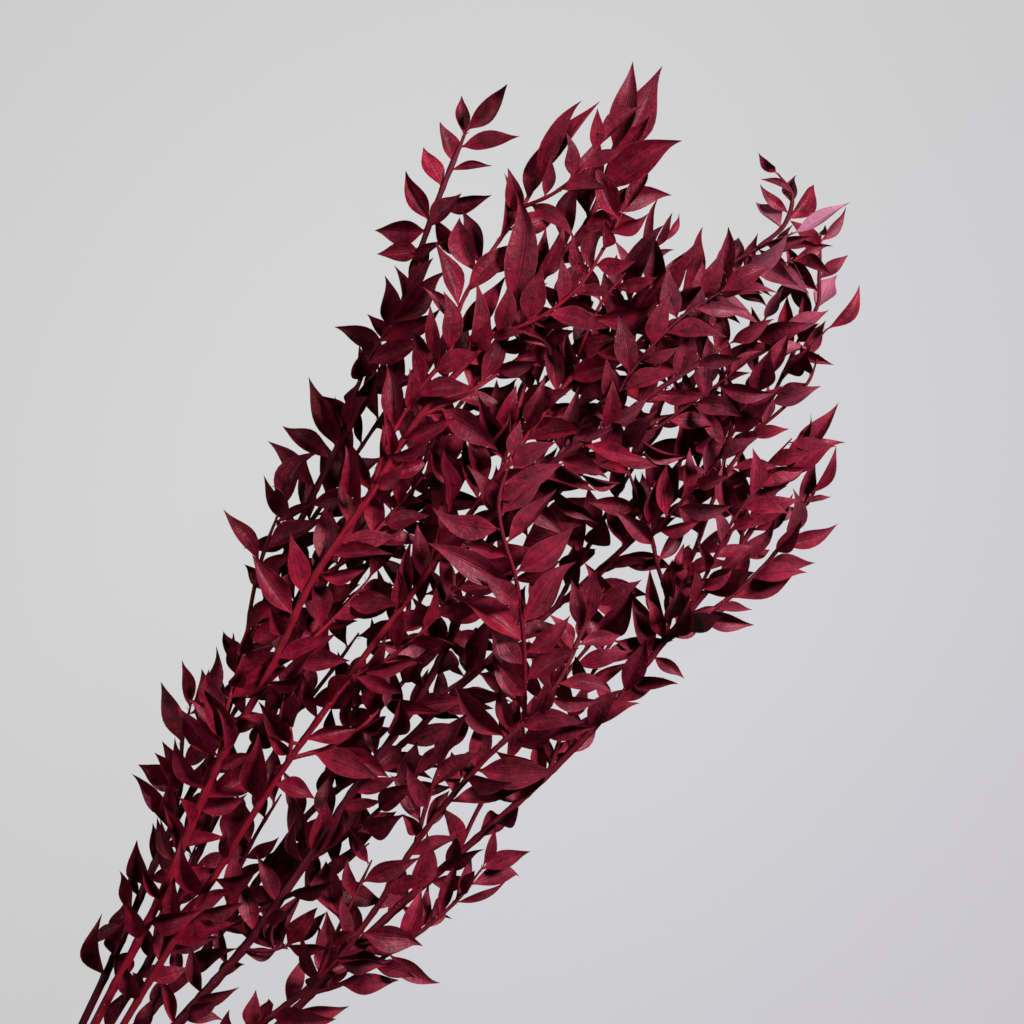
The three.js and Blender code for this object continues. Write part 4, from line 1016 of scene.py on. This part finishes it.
def leaf_faces():
    """The blade's faces, which of them are on its lower side, its rim, and each point's surface place."""
    rows, columns = len(LEAF_STATIONS) - 1, len(LEAF_SHARES)
    inner = rows * columns
    point = inner + rows * (columns - 2)

    def upper(i, j):
        return i * columns + j

    def lower(i, j):
        return upper(i, j) if j in (0, columns - 1) else inner + i * (columns - 2) + j - 1

    faces = []
    for j in range(columns - 1):
        for i in range(rows - 1):
            faces.append([upper(i, j), upper(i, j + 1), upper(i + 1, j + 1), upper(i + 1, j)])
            faces.append([lower(i, j), lower(i + 1, j), lower(i + 1, j + 1), lower(i, j + 1)])
        faces.append([upper(rows - 1, j), upper(rows - 1, j + 1), point])
        faces.append([lower(rows - 1, j + 1), lower(rows - 1, j), point])
    is_lower = [k % 2 for k in range(len(faces))]
    above = [upper(0, j) for j in range(columns - 1, -1, -1)]
    faces.append(above + [lower(0, j) for j in range(1, columns - 1)])
    is_lower.append(0)
    rim = {(upper(i, j), upper(i + 1, j)) for i in range(rows - 1) for j in (0, columns - 1)}
    rim |= {(upper(rows - 1, j), point) for j in (0, columns - 1)}
    places = [(0.5 + share / 2, s) for s in LEAF_STATIONS[:-1] for share in LEAF_SHARES]
    places += [(0.5 + share / 2, s) for s in LEAF_STATIONS[:-1] for share in LEAF_SHARES[1:-1]]
    return faces, is_lower, rim, [*places, (0.5, 1.0)]


def scar_parts(centre, across, normal, radius):
    """A low round scar on a leaf, with a raised rim: a closed body a little sunk into the blade."""
    down = np.cross(across, normal)
    angles = 2 * math.pi * np.arange(SCAR_SIDES) / SCAR_SIDES
    ring = np.cos(angles)[:, None] * across + np.sin(angles)[:, None] * down
    rim = centre + ring * radius * SCAR_RIM[0] + normal * SCAR_RIM[1]
    points = np.vstack([centre + ring * radius, rim, centre + normal * SCAR_MIDDLE,
                        centre - normal * SCAR_DEPTH])
    top, foot = 2 * SCAR_SIDES, 2 * SCAR_SIDES + 1
    faces = []
    for k in range(SCAR_SIDES):
        after = (k + 1) % SCAR_SIDES
        faces.append([k, k + SCAR_SIDES, after + SCAR_SIDES, after])
        faces.append([k + SCAR_SIDES, top, after + SCAR_SIDES])
        faces.append([k, after, foot])
    return points, faces


def scale_parts(leaf, rng):
    """The small dry scale that sits under a leaf's foot, as a thin pointed sliver along the shoot."""
    way = leaf["way"]
    out = unit(leaf["tip"] - leaf["root"] - way * np.dot(leaf["tip"] - leaf["root"], way))
    side = np.cross(way, out)
    length = rng.uniform(*SCALE_LENGTH)
    reach = unit(way * rng.uniform(*SCALE_ALONG) + out * rng.uniform(*SCALE_OUT))
    root = leaf["foot"] - way * SCALE_FOOT[0] + out * SCALE_FOOT[1]
    middle = root + reach * length * SCALE_BELLY
    wide, thick = side * SCALE_HALF[0], unit(np.cross(side, reach)) * SCALE_HALF[1]
    points = np.array([root, middle + wide, middle + thick, middle - wide, middle - thick,
                       root + reach * length])
    points[:, 2] = np.maximum(points[:, 2], FLATTEST)
    faces = []
    for k in range(4):
        faces.append([0, 1 + (k + 1) % 4, 1 + k])
        faces.append([5, 1 + k, 1 + (k + 1) % 4])
    return points, faces


def leaf_material():
    material, tree, shader, surface, place = new_material("dried_leaf", Specular_IOR_Level=0.16,
                                                          Specular_Tint=SATIN_TINT)
    tone, age, under, rosy, vivid, pale, scar, scar_at, scale = (attribute(tree, name) for name in (
        "tone", "age", "under", "rosy", "vivid", "pale", "scar", "scar_at", "scale"))
    at = add_node(tree, "ShaderNodeSeparateXYZ", {0: surface}).outputs
    shift = calculate(tree, "MULTIPLY", tone, 90.0)
    fibres = use_group(tree, FIBRES, Surface=surface, Across=21.0, Along=2.0, Shift=shift)
    worn = use_group(tree, WEATHERING, Place=place, Blotch=90.0, Speck=700.0)
    cloudy = noise(tree, place, 210.0, detail=4.0, roughness=0.6)
    from_rib = calculate(tree, "ABSOLUTE", calculate(tree, "SUBTRACT", at["X"], 0.5))
    groove = remap(tree, from_rib, 0.035, 0.008)
    beyond = calculate(tree, "SUBTRACT", at["Y"], scar_at)
    reach = add_node(tree, "ShaderNodeCombineXYZ", {"X": calculate(tree, "MULTIPLY", from_rib, HALO[0]),
                                                    "Y": calculate(tree, "MULTIPLY", beyond, HALO[1])})
    from_scar = add_node(tree, "ShaderNodeVectorMath", {0: reach.outputs[0]}, operation="LENGTH")

    dye = add_node(tree, "ShaderNodeValToRGB", {0: tone})
    stops = dye.color_ramp.elements
    for spot, colour in DYE_TONES.items():
        stop = stops[0] if spot == 0 else stops[-1] if spot == 1 else stops.new(spot)
        stop.color = colour
    colour = layered(tree, dye.outputs[0], [
        (rosy, 0.45, ROSY_DYE),
        (vivid, 0.6, VIVID_DYE),
        (age, 0.6, FADED_DYE),
        (worn["Faded"], 0.45, FADED_DYE),
        (remap(tree, cloudy, 0.52, 0.36), 0.65, DYE_TONES[0]),
        (remap(tree, cloudy, 0.52, 0.7), 0.4, ROSY_BASE),
        (under, 0.4, UNDERSIDE),
        (remap(tree, at["Y"], 0.36, 0.04), 0.6, ROSY_BASE),
        # painted sheen: rosy leaves lighten towards the tip, partly a rosier dye there
        (calculate(tree, "MULTIPLY", rosy, remap(tree, at["Y"], 0.3, 0.85)), 0.42, ROSY_TIP_AND_SHEEN),
        (pale, 1, PALE_DYE),
        # light streaks along the veins, partly a painted sheen
        (remap(tree, fibres["Fine"], 0.5, 0.0), 0.09, LIGHT_VEIN_AND_SHEEN),
        (vivid, 0.4, VIVID_DYE),
        (remap(tree, fibres["Fine"], 0.45, 1.0), 0.15, DARK_VEIN),
        (fibres["Broad"], 0.3, DARK_VEIN),
        (groove, 0.4, mix_colour(tree, under, DARK_VEIN, LIGHT_VEIN_AND_SHEEN)),
        (remap(tree, from_rib, 0.46, 0.5), 0.4, DRY_EDGE),
        (remap(tree, at["Y"], 0.86, 1.0), 0.45, DARK_VEIN),
        (remap(tree, from_scar.outputs["Value"], 2.0, 0.7), 0.45, DARK_VEIN),
        (scar, 1, SCAR),
        (scale, 1, DRY_SCALE),
        (worn["Dust"], 0.2, LEAF_DUST),
    ])
    wrinkles = noise(tree, place, 420.0, detail=3.0)
    relief = 0.0
    for height, weight in ((fibres["Fine"], -0.36), (wrinkles, 1.7), (groove, -0.6)):
        added = add_node(tree, "ShaderNodeMath", {0: height, 1: weight, 2: relief}, operation="MULTIPLY_ADD")
        relief = added.outputs[0]
    roughness = remap(tree, fibres["Broad"], 0, 1, 0.34, 0.52)
    finish_surface(tree, shader, colour, roughness, relief, strength=0.8, depth=0.0003)
    return material


def bake_cell(cell, total, places):
    """Places inside one cell of the leaves' bake map, where every side of every leaf has its own."""
    columns = math.ceil(math.sqrt(total * 3))
    rows = math.ceil(total / columns)
    u = (cell % columns + inset(places[:, 0], 0.06)) / columns
    v = (cell // columns + inset(places[:, 1], 0.03)) / rows
    return np.column_stack([u, v])


def leaf_parts(stem_number, stem, rng):
    """The leaves of a stem with their scars and scales, ready for make_piece, and the leaves' rims."""
    faces_once, is_lower, rim_once, place_once = leaf_faces()
    face_lengths = [len(face) for face in faces_once]
    corner_places = np.array([place_once[k] for face in faces_once for k in face])
    corner_lower = np.repeat(is_lower, face_lengths)
    looks = [leaf_look(leaf, stem_number, rng) for leaf in stem["leaves"]]
    scars = sum(look["scarred"] for look in looks)
    total = 3 * len(looks) + scars
    points, faces, corners, baked, rims = [], [], [], [], set()
    values = dict(tone=[], age=[], rosy=[], vivid=[], pale=[], scar_at=[], under=[], scar=[], scale=[])
    cell = start = 0

    def add_values(count, look, under, scar, scale):
        scar_at = look["scar_at"] if look["scarred"] else -1
        own = {name: look[name] for name in ("tone", "age", "rosy", "vivid", "pale")}
        for name, value in dict(own, scar_at=scar_at, under=under, scar=scar, scale=scale).items():
            values[name].append(np.full(count, value) if np.isscalar(value) else np.array(value))

    def add_small(small_points, small_faces, look, scar, scale):
        nonlocal cell, start
        points.append(small_points)
        faces.extend([[k + start for k in face] for face in small_faces])
        order = [k for face in small_faces for k in face]
        count = np.arange(len(small_points))
        spots = np.column_stack([count % 3 / 2, count % 7 / 6])[order]  # any spread does for such parts
        corners.append(spots * 0.1 + 0.3)
        baked.append(bake_cell(cell, total, spots))
        add_values(len(small_faces), look, 0, scar, scale)
        cell += 1
        start += len(small_points)

    for leaf, look in zip(stem["leaves"], looks):
        surface = leaf_surface(leaf, look)
        blade_points, normal = leaf_points(surface)
        points.append(blade_points)
        faces.extend([[k + start for k in face] for face in faces_once])
        rims |= {(a + start, b + start) for a, b in rim_once}
        corners.append(corner_places)
        cells_used = np.where(corner_lower, cell + 1, cell)
        baked.append(bake_cell(cells_used, total, corner_places))
        add_values(len(faces_once), look, is_lower, 0, 0)
        cell += 2
        start += len(blade_points)
        add_small(*scale_parts(leaf, rng), look, 0, 1)
        if look["scarred"]:
            row = np.abs(LEAF_STATIONS - look["scar_at"]).argmin()
            across = unit(surface[row, MIDRIB + 1] - surface[row, MIDRIB])
            out = normal[row, MIDRIB]
            centre = surface[row, MIDRIB] + out * SCAR_LIFT
            add_small(*scar_parts(centre, across, out, look["scar_radius"]), look, 1, 0)
    return (np.vstack(points), faces, np.vstack(corners), np.vstack(baked),
            {name: np.concatenate(value) for name, value in values.items()}, rims)


dried_leaf = leaf_material()
leaf_rng = np.random.default_rng(LEAF_SEED)
for number, stem in enumerate(STEMS):
    points, faces, corners, baked, values, rims = leaf_parts(number, stem, leaf_rng)
    leaves = make_piece(f"leafy_stem_{number + 1}_leaves", points, faces, corners, baked, values, dried_leaf)
    sharp = [tuple(sorted(edge.vertices)) in rims for edge in leaves.data.edges]
    leaves.data.attributes.new("sharp_edge", "BOOLEAN", "EDGE").data.foreach_set("value", sharp)
    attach(leaves, "root")
    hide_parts(f"leafy_stem_{number + 1}")


# ---- Rubber band --------------------------------------------------------------------------------------
# A plain tan rubber band, wound four times round the bare stems, holds the bunch. The turns lie side by
# side, and the strand crosses back over them on top; where the bunch lies on it, the band is pressed flat.

BAND_INSIDE = 9.05
BAND_THICKNESS = 1.3
BAND_STRAND = 2.1  # width
BAND_TURNS = 4
BAND_CROSSING = 0.45  # of a turn, in which the strand goes back over the others
CROSSING_RISE = 0.2  # share of the crossing in which the strand climbs
CROSSING_ANGLE = 0.9  # radians; turns the crossing to the top
BAND_STEPS = 288
BAND_PRESSED = 0.06  # height of what the bunch presses on the floor
STRAND_FIT = 0.98  # share of its place's width that the strand fills
STRAND_SECTION = np.array([(-0.5, -0.3), (-0.4, -0.5), (0.4, -0.5), (0.5, -0.3), (0.5, 0.3), (0.4, 0.5),
                           (-0.4, 0.5), (-0.5, 0.3)])  # shares of the strand's width and thickness
LIGHT_RUBBER = (0.46, 0.29, 0.13, 1)
DARK_RUBBER = (0.38, 0.22, 0.09, 1)
FADED_RUBBER = (0.55, 0.40, 0.22, 1)
RUBBER_DUST = (0.62, 0.52, 0.42, 1)


def band_points():
    """The strand's section at each step of its four turns, which close on themselves."""
    turns = np.linspace(0, BAND_TURNS, BAND_STEPS, endpoint=False)
    wound = BAND_TURNS - BAND_CROSSING
    crossing = np.clip((turns - wound) / BAND_CROSSING, 0, 1)
    back = crossing**2 * (3 - 2 * crossing)
    sideways = np.where(turns < wound, turns - wound / 2, wound / 2 - wound * back)
    climb = np.clip(np.minimum(crossing, 1 - crossing) / CROSSING_RISE, 0, 1)
    climb = climb**2 * (3 - 2 * climb)
    x = sideways[:, None] * BAND_STRAND + STRAND_SECTION[:, 0] * BAND_STRAND * STRAND_FIT
    radius = BAND_INSIDE + (0.5 + climb[:, None] + STRAND_SECTION[:, 1]) * BAND_THICKNESS
    angle = (turns * 2 * math.pi + CROSSING_ANGLE)[:, None]
    z = np.maximum(BUNDLE_HEIGHT + radius * np.sin(angle), BAND_PRESSED)
    return np.stack([x, radius * np.cos(angle), z], axis=2)


def rubber_material():
    material, tree, shader, surface, place = new_material("tan_rubber", Specular_IOR_Level=0.35)
    fibres = use_group(tree, FIBRES, Surface=surface, Across=9.0, Along=60.0, Shift=3.0)
    worn = use_group(tree, WEATHERING, Place=place, Blotch=180.0, Speck=1400.0)
    colour = layered(tree, LIGHT_RUBBER, [
        (fibres["Fine"], 1, DARK_RUBBER),
        (worn["Faded"], 0.5, FADED_RUBBER),
        (worn["Dust"], 1, RUBBER_DUST),
    ])
    roughness = remap(tree, worn["Faded"], 0, 1, 0.5, 0.75)
    finish_surface(tree, shader, colour, roughness, fibres["Fine"], strength=0.35, depth=0.0002)
    return material


rings = band_points()
sides = len(STRAND_SECTION)
faces, corners = [], []
for i in range(BAND_STEPS):
    for k in range(sides):
        after_i, after_k = (i + 1) % BAND_STEPS, (k + 1) % sides
        faces.append([i * sides + k, after_i * sides + k, after_i * sides + after_k, i * sides + after_k])
        corners += [((k + a) / sides, (i + b) / BAND_STEPS) for a, b in ((0, 0), (0, 1), (1, 1), (1, 0))]
baked = inset(np.array(corners)[:, ::-1], 0.01)
band = make_piece("wound_rubber_band", rings.reshape(-1, 3), faces, corners, baked, {}, rubber_material())
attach(band, "root")
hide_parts("rubber_band")


# ---- Table, light and camera --------------------------------------------------------------------------
# The bunch lies on a plain pale table that glows with an even colour where the camera sees it, so that
# hardly any of the bunch's shadow shows on it; a painted shade darkens that glow a little away from the
# view's middle. A soft main light stands at the view's upper right and a weaker one at its left.
# The camera looks straight down.

VIEW_WIDTH = 0.512
VIEW_CENTRE = tuple(metres(EYE)[:2])
VIEW_TURN = -54  # degrees; the bunch runs from the lower left to the upper right
VIEW_HEIGHT = (EYE[2] - SEEN_HEIGHT) * MM  # of the camera above the middle of the bunch
SENSOR = 36
TABLE_REACH = 7
TABLE = (0.08, 0.08, 0.085, 1)  # as it lights the bunch from below
PALE_GREY = (0.695, 0.700, 0.697, 1)  # as the camera sees it
LILAC = (0.668, 0.652, 0.70, 1)
LILAC_WAY = (-0.16, -0.99, 0)  # the table looks a little lilac toward the view's lower right
LILAC_SPAN = (-0.15, 0.28)  # along that way
# painted shade: the table's glow gets a little darker away from the view's middle
SHADE = (0.1, 0.1, 0.1, 1)
SHADE_SPAN = (0.12, 0.38)  # from the view's middle, over which the table gets a little darker
TABLE_GLOW = 0.96  # how little of the bunch's shadow the table shows
ROOM_LIGHT = (1.0, 0.86, 0.88, 1)
ROOM_STRENGTH = 0.025
LIT_PLACE = (*VIEW_CENTRE, 0.05)  # where the lights point

floor_mesh = bpy.data.meshes.new("table")
table_corners = [(x * TABLE_REACH, y * TABLE_REACH, 0) for x, y in ((-1, -1), (1, -1), (1, 1), (-1, 1))]
floor_mesh.from_pydata(table_corners, [], [(0, 1, 2, 3)])
floor = bpy.data.objects.new("table", floor_mesh)
bpy.context.scene.collection.objects.link(floor)

pale, tree, shader, _, place = new_material("pale_table", Roughness=0.9, Base_Color=TABLE)
toward_lilac = add_node(tree, "ShaderNodeVectorMath", {0: place, 1: LILAC_WAY}, operation="DOT_PRODUCT")
from_middle = add_node(tree, "ShaderNodeVectorMath", {0: place, 1: (*VIEW_CENTRE, 0)}, operation="DISTANCE")
glow = add_node(tree, "ShaderNodeEmission", {"Color": layered(tree, PALE_GREY, [
    (remap(tree, toward_lilac.outputs["Value"], *LILAC_SPAN), 1, LILAC),
    (remap(tree, from_middle.outputs["Value"], *SHADE_SPAN), 0.12, SHADE),
])})
seen = add_node(tree, "ShaderNodeLightPath").outputs["Is Camera Ray"]
mixed = add_node(tree, "ShaderNodeMixShader", {0: calculate(tree, "MULTIPLY", seen, TABLE_GLOW),
                                               1: shader.outputs[0], 2: glow.outputs[0]})
tree.links.new(mixed.outputs[0], tree.nodes["Material Output"].inputs["Surface"])
floor_mesh.materials.append(pale)

world = bpy.data.worlds.new("studio")
world.use_nodes = True
world.node_tree.nodes["Background"].inputs["Color"].default_value = ROOM_LIGHT
world.node_tree.nodes["Background"].inputs["Strength"].default_value = ROOM_STRENGTH
bpy.context.scene.world = world
bpy.context.scene.view_settings.view_transform = "Standard"

for name, place, size, power, colour in (
        ("key_light", (1.98, -0.70, 1.62), 0.6, 152, (1.0, 0.98, 0.975)),
        ("side_light", (-0.25, 1.15, 1.2), 0.4, 10, (1.0, 0.985, 0.97))):
    lamp = bpy.data.lights.new(name, "AREA")
    lamp.shape = "SQUARE"
    lamp.size = size
    lamp.energy = power
    lamp.color = colour
    light = bpy.data.objects.new(name, lamp)
    light.location = place
    light.rotation_euler = (Vector(LIT_PLACE) - Vector(place)).to_track_quat("-Z", "Y").to_euler()
    bpy.context.scene.collection.objects.link(light)

camera_data = bpy.data.cameras.new("camera")
camera_data.sensor_width = SENSOR
camera_data.lens = SENSOR * VIEW_HEIGHT / VIEW_WIDTH
camera = bpy.data.objects.new("camera", camera_data)
camera.location = metres(EYE)
camera.rotation_euler = (0, 0, math.radians(VIEW_TURN))
bpy.context.scene.collection.objects.link(camera)
bpy.context.scene.camera = camera
